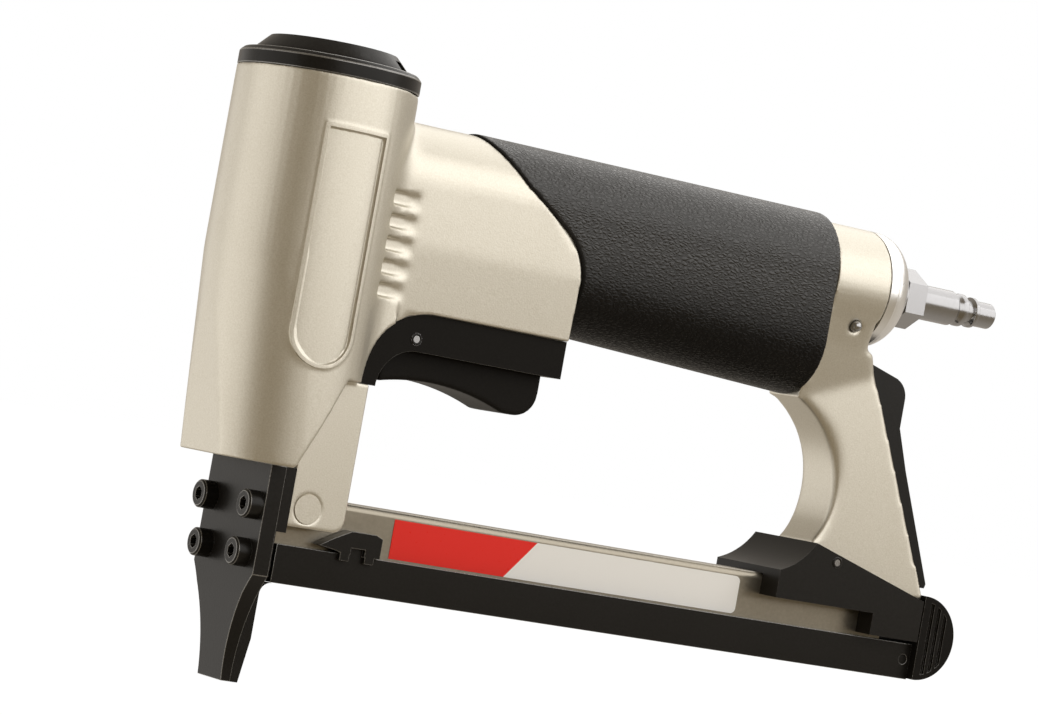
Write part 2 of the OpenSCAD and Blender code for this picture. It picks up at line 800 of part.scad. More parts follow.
// Head valve, cylinder and piston

module head_valve() {
    color(brass)
    difference() {
        union() {
            bar_z(valve_base_z, valve_disc_z, valve_disc_r);
            bar_z(valve_disc_z, valve_top_z, valve_skirt_r - pin_gap);
        }
        bar_z(valve_base_z - cut_over, valve_top_z + cut_over, valve_hole_r);
        bar_z(valve_disc_z, valve_top_z + cut_over, valve_skirt_r - valve_skirt_wall);
        ring_z(valve_base_z + 1, valve_base_z + 1 + ring_h, valve_disc_r - ring_depth, valve_disc_r + cut_over);
    }
}

module head_valve_seal() {
    color(seal_black)
        ring_z(valve_base_z + 1, valve_base_z + 1 + ring_h, valve_disc_r - ring_depth, head_bore_r - run_gap);
}

module head_valve_spring() {
    wire_r = 0.6;
    low_z = valve_disc_z + wire_r + 0.1;
    color(bright_steel)
        translate([0, 0, low_z])
            coil("head_valve_spring", valve_skirt_r - valve_skirt_wall - 1.4,
                cap_roof_z - low_z - wire_r - 0.1, 3, wire_r);
}

module cylinder_sleeve() {
    color(bright_steel)
    difference() {
        union() {
            bar_z(head_floor_z, sleeve_top_z, sleeve_r);
            bar_z(sleeve_seat_z, sleeve_seat_z + sleeve_flange_t, head_bore_r - pin_gap);
        }
        bar_z(head_floor_z - cut_over, sleeve_top_z + cut_over, sleeve_bore_r);
        ring_z(sleeve_seat_z + 0.8, sleeve_seat_z + 0.8 + ring_h, head_bore_r - ring_depth, head_r);
    }
}

module sleeve_seal() {
    color(seal_black)
        ring_z(sleeve_seat_z + 0.8, sleeve_seat_z + 0.8 + ring_h, head_bore_r - ring_depth,
            head_bore_r - seat_gap);
}

module cylinder_bumper() {
    color(black_rubber)
        ring_z(head_floor_z, bumper_top_z, bumper_hole_r, sleeve_bore_r - pin_gap);
}

module piston() {
    groove_z = piston_z + piston_h - ring_h - 1;
    color(dark_steel)
    difference() {
        bar_z(piston_z, piston_z + piston_h, piston_r);
        ring_z(groove_z, groove_z + ring_h, piston_r - ring_depth, piston_r + cut_over);
        block(-driver_t / 2, driver_t / 2, driver_w / 2, piston_z - cut_over, piston_z + 5);
        bar_x(-piston_r - cut_over, piston_r + cut_over, piston_pin_z, piston_pin_r + seat_gap);
    }
}

module piston_ring() {
    groove_z = piston_z + piston_h - ring_h - 1;
    color(seal_black) ring_z(groove_z, groove_z + ring_h, piston_r - ring_depth, sleeve_bore_r - pin_gap);
}

module piston_pin() {
    half_l = piston_r - 2;
    color(bright_steel) bar_x(-half_l, half_l, piston_pin_z, piston_pin_r);
}

module driver_blade() {
    color(bright_steel)
    difference() {
        block(-driver_t / 2, driver_t / 2, driver_w / 2, driver_tip_z, piston_z + 5);
        bar_x(-driver_t, driver_t, piston_pin_z, piston_pin_r + seat_gap);
    }
}

// Nose

// A flat outline in Y and Z, thickened between two places along X
module along_x(x0, x1) {
    translate([x0, 0, 0])
        rotate([90, 0, 90])
            linear_extrude(x1 - x0) children();
}

module flared_outline(half_w, top_z) {
    difference() {
        translate([-half_w, 0]) square([2 * half_w, top_z]);
        for (side = [-1, 1])
            translate([side * (tip_half_w + flare_r), 1]) circle(flare_r, $fn = 128);
    }
}

module front_plate() {
    back_x = -driver_slot_half_t;
    color(black_paint)
    difference() {
        along_x(-plate_front, back_x) flared_outline(plate_half_w, head_base_z);
        across(plate_half_w + cut_over)
            polygon([
                [-plate_front - cut_over, tip_taper_z], [-plate_front, tip_taper_z],
                [-tip_front, 0], [-tip_front, -cut_over], [-plate_front - cut_over, -cut_over]
            ]);
        for (side = [-1, 1]) {
            translate([0, side * screw_high_y, 0])
                bar_x(-plate_front - cut_over, 0, screw_high_z, screw_r + seat_gap);
            translate([0, side * screw_low_y, 0])
                bar_x(-plate_front - cut_over, 0, screw_low_z, screw_r + seat_gap);
        }
    }
}

module driver_guide() {
    front_x = -driver_slot_half_t;
    wing_low_z = 37.8;
    flange_half_w = 12.5;
    flange_x = 1.2;
    foot_top_z = channel_low_z - run_gap;
    foot_chamfer_z = 11;
    fillet = 3;
    color(black_paint)
    difference() {
        union() {
            // wings that bolt on the ear
            along_x(front_x, ear_front_x)
                translate([-plate_half_w + 0.4, wing_low_z])
                    square([2 * plate_half_w - 0.8, head_base_z - wing_low_z]);
            // thin flange behind the lower screws
            along_x(front_x, flange_x)
                translate([-flange_half_w, foot_top_z + 1.5])
                    square([2 * flange_half_w, wing_low_z - foot_top_z - 1.5]);
            // core in front of the rail
            along_x(front_x, guide_rear)
                translate([-rail_half_w, foot_top_z])
                    square([2 * rail_half_w, rail_top_z - foot_top_z]);
            // rear half of the foot, with a chamfer at the tip and a fillet under the channel
            across(tip_half_w)
                difference() {
                    polygon([
                        [front_x, 0], [guide_rear - 1.6, 0], [guide_rear, foot_chamfer_z],
                        [guide_rear, foot_top_z - fillet], [guide_rear + fillet, foot_top_z - fillet],
                        [guide_rear + fillet, foot_top_z + 0.001], [front_x, foot_top_z + 0.001]
                    ]);
                    translate([guide_rear + fillet, foot_top_z - fillet]) circle(fillet);
                }
        }
        // driver slot and the opening that the staples come through
        block(front_x - cut_over, driver_slot_half_t, driver_slot_half_w, -cut_over, head_base_z + cut_over);
        block(0, guide_rear + cut_over, rail_half_w - rail_wall, rail_low_z, rail_top_z - rail_wall);
        for (side = [-1, 1]) {
            translate([0, side * screw_high_y, 0])
                bar_x(front_x - cut_over, ear_front_x + cut_over, screw_high_z, screw_r + seat_gap);
            translate([0, side * screw_low_y, 0])
                bar_x(front_x - cut_over, flange_x + cut_over, screw_low_z, screw_r + seat_gap);
        }
    }
}

// One socket-head screw along X, its head's seat at the plate's front face
module nose_screw(y, z, end_x) {
    head_factor = 1.75;
    chamfer = 0.5;
    head_h = 2 * screw_r;
    head_r = head_factor * screw_r;
    socket_af = 1.5 * screw_r;
    translate([-plate_front, y, z])
        rotate([0, -90, 0])
            difference() {
                union() {
                    rotate_extrude()
                        polygon([
                            [0, 0], [head_r, 0], [head_r, head_h - chamfer], [head_r - chamfer, head_h],
                            [0, head_h]
                        ]);
                    translate([0, 0, -plate_front - end_x]) cylinder(r = screw_r, h = plate_front + end_x);
                }
                translate([0, 0, head_h / 2]) cylinder(r = socket_af / sqrt(3), h = head_h, $fn = 6);
            }
}

module nose_screws() {
    color(black_paint)
    for (side = [-1, 1]) {
        nose_screw(side * screw_high_y, screw_high_z, screw_high_end_x);
        nose_screw(side * screw_low_y, screw_low_z, 1.2);
    }
}

// Trigger

module housing_outline(gap) {
    difference() {
        union() {
            translate([housing_arc_x, housing_foot_z]) circle(housing_arc_r + gap);
            translate([housing_arc_x, housing_foot_z - gap])
                square([housing_rear_x + gap - housing_arc_x, housing_arc_r + 2 * gap]);
        }
        translate([0, housing_foot_z - gap - 100]) square([100, 100]);
    }
}

module trigger_housing() {
    inner_half_w = housing_half_w - housing_wall;
    inside_x = trigger_pin_x - trigger_hub_r - 3;
    rear_wall = 1.6;
    color(black_paint)
    difference() {
        across(housing_half_w) housing_outline(0);
        // open below the side walls, round at the front
        across(housing_half_w + cut_over) {
            translate([housing_inner_x, housing_foot_z]) circle(housing_inner_r);
            translate([housing_inner_x, housing_foot_z - cut_over])
                square([housing_rear_x, housing_inner_r + cut_over]);
            translate([housing_inner_x - housing_inner_r, housing_foot_z - cut_over])
                square([2 * housing_inner_r, cut_over]);
        }
        // room for the trigger
        block(inside_x, housing_rear_x - rear_wall, inner_half_w, housing_foot_z - cut_over,
            housing_top_z - housing_roof);
        translate([valve_x, 0, 0]) bar_z(housing_low_z, housing_top_z + cut_over, valve_neck_r + seat_gap);
        pin_y(trigger_pin_x, trigger_pin_z, trigger_pin_r + seat_gap, housing_half_w + cut_over);
    }
}

module trigger_outline() {
    finger_r = 62;
    finger_x = 38.5;
    finger_z = 79.6;
    toe_r = 6.2;
    toe_x = 63.8;
    toe_z = 81.8;
    rear_top_z = housing_top_z - housing_roof - run_gap
        - (toe_x + toe_r - trigger_pin_x) * sin(trigger_pull);
    difference() {
        union() {
            translate([trigger_pin_x, trigger_pin_z]) circle(trigger_hub_r - 0.8);
            polygon([
                [trigger_pin_x - 6.4, trigger_pin_z - 6], [trigger_pin_x - 6, toe_z - toe_r],
                [toe_x, toe_z - toe_r], [toe_x + toe_r, toe_z], [toe_x + toe_r, rear_top_z],
                [trigger_pin_x, trigger_pin_z + 3.4], [trigger_pin_x - 4, trigger_pin_z]
            ]);
            translate([toe_x, toe_z]) circle(toe_r);
        }
        translate([finger_x, finger_z - finger_r]) circle(finger_r, $fn = 128);
    }
}

module trigger() {
    cavity_x = trigger_pin_x + 6;
    color(black_paint)
    difference() {
        across(trigger_half_w) trigger_outline();
        block(cavity_x, 67, trigger_half_w - trigger_wall, trigger_floor_z, housing_top_z);
        pin_y(trigger_pin_x, trigger_pin_z, trigger_pin_r + pin_gap, housing_half_w);
    }
}

module trigger_pin() {
    color(bright_steel) pin_y(trigger_pin_x, trigger_pin_z, trigger_pin_r, housing_half_w + 0.2);
}

// Trigger valve

seal_low_z = housing_top_z + 1.2;
seal_high_z = valve_roof_z - 3.6;

module valve_groove(z) {
    ring_z(z, z + ring_h, valve_r - 1, valve_r + cut_over);
}

module trigger_valve() {
    color(brass)
    translate([valve_x, 0, 0])
    difference() {
        union() {
            bar_z(housing_top_z, valve_roof_z, valve_r);
            bar_z(housing_top_z - housing_roof, housing_top_z, valve_neck_r);
            bar_z(housing_top_z - housing_roof - 2, housing_top_z - housing_roof, valve_collar_r);
        }
        bar_z(valve_chamber_low_z, valve_roof_z - 2, valve_chamber_r);
        bar_z(housing_low_z, valve_roof_z, stem_r + 0.1);
        bar_z(valve_roof_z - 3, valve_roof_z + cut_over, 1.5);
        valve_groove(seal_low_z);
        valve_groove(seal_high_z);
    }
}

module valve_seals() {
    color(seal_black)
    translate([valve_x, 0, 0])
        for (z = [seal_low_z, seal_high_z]) ring_z(z, z + ring_h, valve_r - 1, valve_r + seat_gap);
}

module valve_stem() {
    color(bright_steel)
    translate([valve_x, 0, 0]) {
        bar_z(stem_low_z, stem_head_z + stem_head_h, stem_r);
        bar_z(stem_head_z, stem_head_z + stem_head_h, stem_head_r);
    }
}

module valve_spring() {
    wire_r = 0.35;
    low_z = stem_head_z + stem_head_h + wire_r + 0.1;
    color(bright_steel)
    translate([valve_x, 0, low_z])
        coil("valve_spring", valve_chamber_r - 1.2, valve_roof_z - 2 - low_z - wire_r - 0.1, 3, wire_r);
}

// Grip and air inlet

module grip_sleeve() {
    color(black_rubber)
    difference() {
        handle_shape(shield_r, grip_front_x, grip_rear_x);
        handle_shape(handle_r + seat_gap, grip_front_x - cut_over, grip_rear_x + cut_over);
        across(shield_r + cut_over) shield_outline(0.1);
    }
}

// A round shape about the inlet's axis, from an outline of distance along X and radius
module inlet_turned() {
    translate([0, 0, end_axis_z])
        rotate([0, 90, 0])
            rotate_extrude()
                rotate(90) mirror([0, 1]) children();
}

module end_cap() {
    rim = 2.5;
    dome = end_r - dome_r;
    color(bright_steel)
    difference() {
        union() {
            inlet_turned() {
                translate([end_x, 0]) square([rim, end_r]);
                translate([end_x + rim, 0]) square([dome_x - end_x - rim, dome_r]);
                intersection() {
                    translate([dome_x - dome, dome_r]) circle(dome);
                    translate([end_x + rim, 0]) square([dome, end_r]);
                }
            }
            bar_x(end_x - spigot_len, end_x, end_axis_z, spigot_r);
        }
        bar_x(end_x - spigot_len - cut_over, end_x + 2, end_axis_z, inlet_bore_r);
        bar_x(end_x, dome_x + cut_over, end_axis_z, inlet_bore_r - 0.9);
        inlet_turned() {
            translate([end_pin_x - end_pin_r - 0.2, spigot_r - 2.2]) square([2 * end_pin_r + 0.4, 4]);
            translate([end_x - 4.6, spigot_r - ring_depth]) square([ring_h, 4]);
        }
    }
}

module end_cap_seal() {
    color(seal_black)
    inlet_turned()
        translate([end_x - 4.6, spigot_r - ring_depth])
            square([ring_h, ring_depth + pin_gap - seat_gap]);
}

module end_cap_pin() {
    half_l = 12.2;
    color(bright_steel) {
        pin_y(end_pin_x, end_pin_z, end_pin_r, half_l);
        for (side = [-1, 1]) translate([end_pin_x, side * half_l, end_pin_z]) sphere(end_pin_r);
    }
}

module air_plug() {
    body_r = 4.7;
    body_end = plug_body_end;
    bulb_r = 4.4;
    waist_r = 3.1;
    tip_r = 3.45;
    chamfer = 0.6;
    color(bright_steel)
    difference() {
        union() {
            inlet_turned()
                polygon([
                    [end_x + 2, 0], [end_x + 2, inlet_bore_r - 1], [dome_x, inlet_bore_r - 1],
                    [dome_x, 7.2], [hex_x, 7.2], [hex_x, 6.6], [hex_x + hex_len, 6.6],
                    [hex_x + hex_len, body_r], [body_end - chamfer, body_r], [body_end, body_r - chamfer],
                    [body_end + 0.5, waist_r + 0.6], [body_end + 1.2, bulb_r - 0.4],
                    [body_end + 2, bulb_r], [body_end + 3.2, bulb_r], [body_end + 4, waist_r],
                    [body_end + 5.6, waist_r], [body_end + 6.2, bulb_r - 0.3], [body_end + 7.2, bulb_r - 0.3],
                    [body_end + 7.6, tip_r], [body_end + 13, tip_r], [body_end + 13.5, tip_r - 0.5],
                    [body_end + 13.5, 0]
                ]);
            translate([hex_x, 0, end_axis_z])
                rotate([0, 90, 0]) cylinder(r = hex_af / sqrt(3), h = hex_len, $fn = 6);
        }
        bar_x(end_x, body_end + 14.5, end_axis_z, plug_bore_r);
    }
}

// Fixed magazine

module magazine_rail() {
    round_r = 1.8;
    round_y = rail_half_w - round_r;
    color(rail_grey)
    difference() {
        union() {
            along_x(rail_front_x, rail_rear_x) {
                translate([-rail_half_w, rail_low_z]) square([2 * rail_half_w, rail_top_z - round_r - rail_low_z]);
                translate([-round_y, rail_low_z]) square([2 * round_y, rail_top_z - rail_low_z]);
                for (side = [-1, 1]) translate([side * round_y, rail_top_z - round_r]) circle(round_r);
            }
            block(channel_front_x + 0.3, rail_rear_x, rail_flange_half_w, rail_low_z, rail_low_z + rail_flange_t);
        }
        block(rail_front_x - cut_over, rail_rear_x + cut_over, rail_half_w - rail_wall,
            rail_low_z - cut_over, rail_top_z - rail_wall);
        pin_y(rail_pin_x, rail_pin_z, rail_peg_r + seat_gap, rail_half_w + cut_over);
    }
}

module rail_pin() {
    color(champagne)
    union() {
        both_sides(rail_pin_disc_y, ear_half_w + 0.15)
            translate([rail_pin_x, rail_pin_z]) circle(rail_pin_r);
        both_sides(rail_half_w - rail_wall + 0.1, rail_pin_disc_y)
            translate([rail_pin_x, rail_pin_z]) circle(rail_peg_r);
    }
}

module bracket_outline() {
    difference() {
        polygon([
            [bracket_front_x, bracket_low_z], [bracket_stop_x, bracket_low_z],
            [bracket_stop_x, bracket_foot_z], [bracket_rear_x, bracket_foot_z],
            [bracket_rear_x, rail_top_z - 0.4],
            saddle_high, [bracket_front_x, leg_foot_top_z]
        ]);
        translate(saddle_centre) circle(bracket_round);
    }
}

module rear_bracket() {
    color(black_paint)
    difference() {
        intersection() {
            across(bracket_half_w) bracket_outline();
            linear_extrude(leg_top_z)
                polygon([
                    [bracket_front_x, -bracket_half_w], [bracket_rear_x, -bracket_rear_half_w],
                    [bracket_rear_x, bracket_rear_half_w], [bracket_front_x, bracket_half_w]
                ]);
        }
        // passage of the rail and the channel's core, and the pocket of the leg's foot
        block(bracket_front_x - cut_over, bracket_rear_x + cut_over, rail_half_w + seat_gap,
            bracket_foot_z - cut_over, rail_top_z + seat_gap);
        intersection() {
            block(leg_foot_x - seat_gap, bracket_rear_x + cut_over, bracket_half_w, leg_base_z, leg_foot_top_z + 5);
            linear_extrude(leg_top_z) leg_plan(seat_gap);
        }
        pin_y(bracket_pin_x, bracket_pin_z, bracket_pin_r + seat_gap, bracket_half_w + cut_over);
    }
}

module bracket_pin() {
    color(bright_steel)
        pin_y(bracket_pin_x, bracket_pin_z, bracket_pin_r, bracket_half_at(bracket_pin_x) + 0.2);
}

// Latch

module lever_outline() {
    inset = lever_inset / cos(leg_lean);
    lobe_z = 98.7;
    lobe_r = 5.4;
    lobe_x = leg_rear_at(lobe_z) + 5;
    top_z = slot_top_z - 2.4;
    polygon([
        [leg_rear_at(lever_low_z) - inset, lever_low_z], [leg_rear_at(lever_low_z) + 4.9, lever_low_z],
        [leg_rear_at(lever_low_z + 1.2) + 5.8, lever_low_z + 1.2], [leg_rear_at(80) + 6.1, 80],
        [lobe_x + lobe_r, lobe_z - 7.7], [lobe_x + lobe_r, lobe_z],
        [lobe_x + 2, lobe_z + lobe_r - 0.3], [leg_rear_at(top_z) + 0.4, top_z],
        [leg_rear_at(top_z - 2) - inset, top_z - 2]
    ]);
    translate([lobe_x, lobe_z]) circle(lobe_r);
    translate([latch_pin_x, latch_pin_z]) circle(latch_pin_r + 2);
}

module latch_lever() {
    color(black_paint)
    difference() {
        across(latch_half_w) lever_outline();
        pin_y(latch_pin_x, latch_pin_z, latch_pin_r + pin_gap, latch_half_w + cut_over);
    }
}

module latch_pin() {
    half_l = latch_wall - latch_pin_blind / 2 - seat_gap;
    color(bright_steel)
        translate([0, latch_wall - half_l, 0]) pin_y(latch_pin_x, latch_pin_z, latch_pin_r, half_l);
}

module latch_spring() {
    wire_r = 0.35;
    seat_z = 92;
    length = slot_depth - lever_inset - 2 * wire_r - 0.4;
    color(bright_steel)
    translate([leg_rear_at(seat_z), 0, seat_z])
        rotate([0, 90 - leg_lean, 0])
            translate([0, 0, -slot_depth + wire_r + 0.2])
                coil("latch_spring", 2.6, length, 3, wire_r);
}

// Sliding magazine

module magazine_channel() {
    inner = channel_half_w - channel_wall;
    color(black_paint)
    difference() {
        union() {
            block(channel_front_x, channel_rear_x, channel_half_w, channel_low_z, channel_top_z);
            block(tab_x, tab_x + tab_w, channel_half_w, channel_low_z, tab_top_z);
        }
        block(channel_front_x - cut_over, channel_rear_x + cut_over, inner, channel_floor_z,
            channel_top_z - channel_wall);
        block(channel_front_x - cut_over, channel_rear_x + cut_over, inner - channel_lip, channel_floor_z,
            tab_top_z + cut_over);
        block(tab_x - cut_over, tab_x + tab_w + cut_over, inner, channel_top_z, tab_top_z + cut_over);
        pin_y(channel_pin_x, channel_pin_z, channel_pin_r + seat_gap, channel_half_w + cut_over);
    }
}

module stop_clip() {
    top_z = bracket_low_z - 0.9;
    rear_x = tab_x + tab_w + 4.4;
    foot_w = 2.6;
    foot_h = 1.6;
    color(black_paint) {
        both_sides(channel_half_w + seat_gap, channel_half_w + 1.2)
            for (x = [tab_x - foot_w - 0.2, tab_x + tab_w + 0.2])
                translate([x, channel_top_z - foot_h]) square([foot_w, foot_h + cut_over]);
        both_sides(rail_half_w + 0.4, channel_half_w + 1.2)
        difference() {
            polygon([
                [tab_x - 8.9, channel_top_z + 1.3], [tab_x - 4.5, channel_top_z + 0.7],
                [tab_x - 1.4, channel_top_z], [rear_x, channel_top_z], [rear_x, top_z - 0.8],
                [rear_x - 2, top_z], [tab_x - 0.4, top_z], [tab_x - 5.1, channel_top_z + 3.5]
            ]);
            translate([tab_x, channel_top_z - cut_over]) square([tab_w, tab_top_z - channel_top_z + cut_over]);
        }
    }
}

module staple_core() {
    inner = core_half_w - core_wall;
    end_wall = 1.5;
    color(bright_steel)
    difference() {
        block(core_front_x, core_rear_x, core_half_w, channel_floor_z, core_top_z);
        block(core_front_x + end_wall, core_rear_x + cut_over, inner, channel_floor_z - cut_over,
            core_top_z - core_wall);
        block(core_front_x + end_wall, pusher_block_x + pusher_block_len + pusher_travel + 3,
            core_slot_half_w, core_top_z - 2 * core_wall, core_top_z + cut_over);
        bar_x(core_front_x - cut_over, core_front_x + 2 * end_wall, rod_z, rod_r + seat_gap);
    }
}

module guide_rod() {
    color(bright_steel) bar_x(core_front_x, rod_rear_x, rod_z, rod_r);
}

module pusher() {
    inner = core_half_w - core_wall;
    skin_half_w = rail_half_w - rail_wall - run_gap;
    low_z = rod_z + 3;
    color(dark_steel)
    difference() {
        union() {
            difference() {
                block(pusher_front_x, pusher_front_x + pusher_len, skin_half_w, low_z, core_top_z + 1.2);
                block(pusher_front_x - cut_over, pusher_front_x + pusher_len + cut_over,
                    core_half_w + run_gap, low_z - cut_over, core_top_z + run_gap);
            }
            block(pusher_block_x, pusher_block_x + pusher_block_len, core_slot_half_w - run_gap,
                rod_z, core_top_z + 1);
            block(pusher_block_x, pusher_block_x + pusher_block_len, inner - run_gap - 0.1,
                rod_z - 2.8, rod_z + 2.8);
        }
        bar_x(pusher_block_x - cut_over, pusher_block_x + pusher_block_len + cut_over, rod_z, rod_r + pin_gap);
    }
}

module pusher_spring() {
    wire_r = 0.35;
    start_x = pusher_block_x + pusher_block_len + wire_r + 0.2;
    color(bright_steel)
    translate([start_x, 0, rod_z])
        rotate([0, 90, 0])
            coil("pusher_spring", 2.4, core_rear_x - start_x - wire_r - 0.1, 36, wire_r);
}

// The pull at the channel's rear end, with vertical grooves for the fingers
module end_pull() {
    groove_w = 1.2;
    groove_depth = 0.8;
    groove_pitch = 2.3;
    grooves = 3;
    plug_half_w = channel_half_w - channel_wall - 0.1;
    round_x = pull_x + pull_flat;
    color(black_paint)
    difference() {
        union() {
            across(pull_half_w)
                intersection() {
                    union() {
                        translate([round_x, pull_z]) circle(pull_r);
                        translate([pull_x, pull_z - pull_r]) square([pull_flat, 2 * pull_r]);
                    }
                    translate([pull_x, 0]) square([pull_flat + 2 * pull_r, 2 * rail_top_z]);
                }
            block(core_rear_x, pull_x, plug_half_w, plug_low_z, channel_top_z - channel_wall - 0.1);
        }
        for (side = [-1, 1], i = [0 : grooves - 1])
            translate([0, side * pull_half_w, 0])
                across(groove_depth)
                    intersection() {
                        translate([pull_x + (i + 1) * groove_pitch, pull_z - pull_r])
                            square([groove_w, 2 * pull_r]);
                        translate([round_x, pull_z]) circle(pull_r - 1.4);
                    }
        pin_y(channel_pin_x, channel_pin_z, channel_pin_r + seat_gap, channel_half_w);
        bar_x(core_rear_x - cut_over, rod_rear_x + 0.1, rod_z, rod_r + seat_gap);
    }
}

module channel_pin() {
    color(dark_steel) pin_y(channel_pin_x, channel_pin_z, channel_pin_r, channel_half_w - 0.2);
}

main_casting();
cylinder_cap();
exhaust_cover();
cover_screw();
cap_seal();
head_valve();
head_valve_seal();
head_valve_spring();
cylinder_sleeve();
sleeve_seal();
cylinder_bumper();
piston();
piston_ring();
piston_pin();
driver_blade();
front_plate();
driver_guide();
nose_screws();
trigger_housing();
trigger();
trigger_pin();
trigger_valve();
valve_seals();
valve_stem();
valve_spring();
grip_sleeve();
end_cap();
end_cap_seal();
end_cap_pin();
air_plug();
magazine_rail();
rail_pin();
rear_bracket();
bracket_pin();
latch_lever();
latch_pin();
latch_spring();
magazine_channel();
stop_clip();
staple_core();
guide_rod();
pusher();
pusher_spring();
end_pull();
channel_pin();
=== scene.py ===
"""Looks of a pneumatic upholstery stapler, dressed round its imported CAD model."""

import math

import bpy
import numpy as np
from mathutils import Matrix, Vector


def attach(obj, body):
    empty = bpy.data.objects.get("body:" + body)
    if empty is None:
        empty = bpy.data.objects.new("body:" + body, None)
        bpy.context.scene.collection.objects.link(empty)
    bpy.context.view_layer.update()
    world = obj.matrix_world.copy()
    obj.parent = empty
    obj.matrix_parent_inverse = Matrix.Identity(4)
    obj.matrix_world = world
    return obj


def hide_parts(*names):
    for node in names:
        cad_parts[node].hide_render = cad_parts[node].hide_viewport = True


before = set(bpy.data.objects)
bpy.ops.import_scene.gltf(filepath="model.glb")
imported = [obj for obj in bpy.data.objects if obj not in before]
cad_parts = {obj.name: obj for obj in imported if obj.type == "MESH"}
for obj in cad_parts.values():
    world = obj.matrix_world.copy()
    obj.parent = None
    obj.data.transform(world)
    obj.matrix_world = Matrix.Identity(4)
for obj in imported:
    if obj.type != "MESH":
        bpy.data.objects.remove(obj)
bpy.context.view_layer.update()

bl_info = {
    "name": "Upholstery Stapler Looks",
    "version": (1, 0, 0),
    "blender": (4, 5, 0),
    "location": "3D View > Sidebar > Stapler",
    "description": "Dresses the packed stapler with cast body, grip, label, finishes and studio",
    "category": "Object",
}

MM = 0.001

# The photograph's frame and viewpoint
IMAGE_WIDTH = 1038
SENSOR_WIDTH = 36.0
CAMERA_FOCAL_PX = 3871.174
CAMERA_AZIMUTH = -31.5617
CAMERA_ELEVATION = -1.4851
CAMERA_ROLL = 10.1406
CAMERA_TARGET = Vector((67.6255, 0.0, 90.3054)) * MM
CAMERA_DISTANCE = 976.758 * MM
CAMERA_CLIP = (0.01, 100.0)

# CAD nodes that keep their own shape and only take a finish, and the pins whose ends get black rings of
# painted shade
STEEL_NODES = [
    "cover_screw", "end_cap_pin", "bracket_pin", "trigger_pin", "latch_pin", "head_valve_spring",
    "valve_spring", "latch_spring", "pusher_spring", "valve_stem", "staple_core", "guide_rod",
    "pusher", "piston", "piston_pin", "driver_blade", "cylinder_sleeve",
]
BRASS_NODES = ["head_valve", "trigger_valve"]
SEAL_NODES = [
    "cap_seal", "head_valve_seal", "sleeve_seal", "piston_ring", "valve_seals", "end_cap_seal",
    "cylinder_bumper",
]
PINS_WITH_SHADE_RINGS = ["trigger_pin", "bracket_pin"]

# The made finishes by name, and the finish that the rounded edges of a black part take, a lighter black that
# paints a glint
FINISHES = {}
EDGE_FINISH = {"black": "black_edge_glint", "black_plastic": "black_edge_glint"}

# Working on meshes: lengths in metres, angles in degrees
MERGE_DISTANCE = 1e-6
FLAT_ANGLE = 0.6
SMOOTH_FACTOR = 0.5
NORMAL_WEIGHT = 80
WEIGHT_STEPS = 20

# Edges: wider rounds on nose, rail and latch as shares of the edge round, and the finer one of the air plug
BROAD_ROUND = 1.5
LATCH_ROUND = 2.0
BROAD_SEGMENTS = 3
PLUG_ROUND = 0.5
PLUG_ANGLE = 40

# Moulded pieces: steps of smoothing, triangles that are kept and the angle up to which they look smooth
CAST_STEPS = 6
CAST_BLEND_STEPS = 90
CAST_TRIANGLES = 185000
CAST_ANGLE = 60
GRIP_STEPS = 6
GRIP_LIP_STEPS = 8
GRIP_LIP_X = (74.0, 78.0)
GRIP_TRIANGLES = 120000
GRIP_ANGLE = 70
TRIGGER_STEPS = 40
TRIGGER_TRIANGLES = 30000
TRIGGER_ANGLE = 60

# Where the casting's forms flow together, in millimetres. A rise or fall starts and ends at its two numbers.
# A span is full between its first two numbers and fades over the third outside them.
GAP_X = 140.0
GAP_Z = 70.0
LEG_FRONT_SPAN = (24.0, 31.0, 2.0)
LEG_FRONT_RISE_X = (150.5, 152.0)
LEG_FRONT_RISE_Z = (56.5, 59.0)
LEG_TOP_RISE_X = (151.0, 153.0)
LEG_TOP_FALL_X = (170.0, 174.0)
LEG_TOP_SPAN_Z = (95.0, 113.0, 5.0)
LEG_HEEL_SPAN_X = (163.0, 177.0, 1.5)
LEG_HEEL_SPAN_Z = (101.0, 116.0, 2.0)
LEG_EDGE_SHARE = 0.3
LEG_EDGE_RISE_X = (150.5, 152.5)
LEG_EDGE_SPAN_Z = (57.0, 106.0, 2.0)
NECK_TOP_SPAN_X = (16.0, 34.0, 5.0)
NECK_TOP_SPAN_Z = (128.0, 146.0, 3.0)
NECK_SIDE_SPAN_X = (25.0, 68.0, 2.0)
NECK_SIDE_SPAN_Z = (104.0, 121.0, 5.0)
RIB_END_SHARE = 0.7
RIB_END_RISE_X = (18.5, 24.0)
RIB_END_FALL_X = (26.0, 28.0)
RIB_END_SPAN_Z = (95.0, 127.0, 1.5)
FACET_SHARE = 0.6
FACET_FALL_X = (-6.0, -2.0)
FACET_SPAN_Z = (56.5, 104.0, 3.0)

# The sunk panel on the head's left side. Its piece stands off the casting by the lay, which is a quarter of
# its thickness, and reaches as far past the panel's edge.
PANEL_X = -0.8 * MM
PANEL_HALF_W = 8.5 * MM
PANEL_TOP_Z = 136.0 * MM
PANEL_ROUND_Z = 86.5 * MM
PANEL_FLOOR_R = 21.5 * MM
PANEL_LAY = 0.1 * MM
PANEL_THICKNESS = 4 * PANEL_LAY
PANEL_OFFSET = -0.5
PANEL_ANGLE = 40
PANEL_SEGMENTS = 3

# The blank label on the rail's left side. Its colours meet on a line that leans back.
LABEL_X = (36.3 * MM, 141.8 * MM)
LABEL_Z = (35.3 * MM, 45.1 * MM)
LABEL_CORNER = 1.5 * MM
LABEL_CORNER_SEGMENTS = 6
LABEL_EDGE_SHARE = 0.2
LABEL_SPLIT_LEAN = 0.85
LABEL_SPLIT_X = 70.0 * MM - LABEL_Z[0] * LABEL_SPLIT_LEAN
RAIL_SIDE_Y = -7.0 * MM
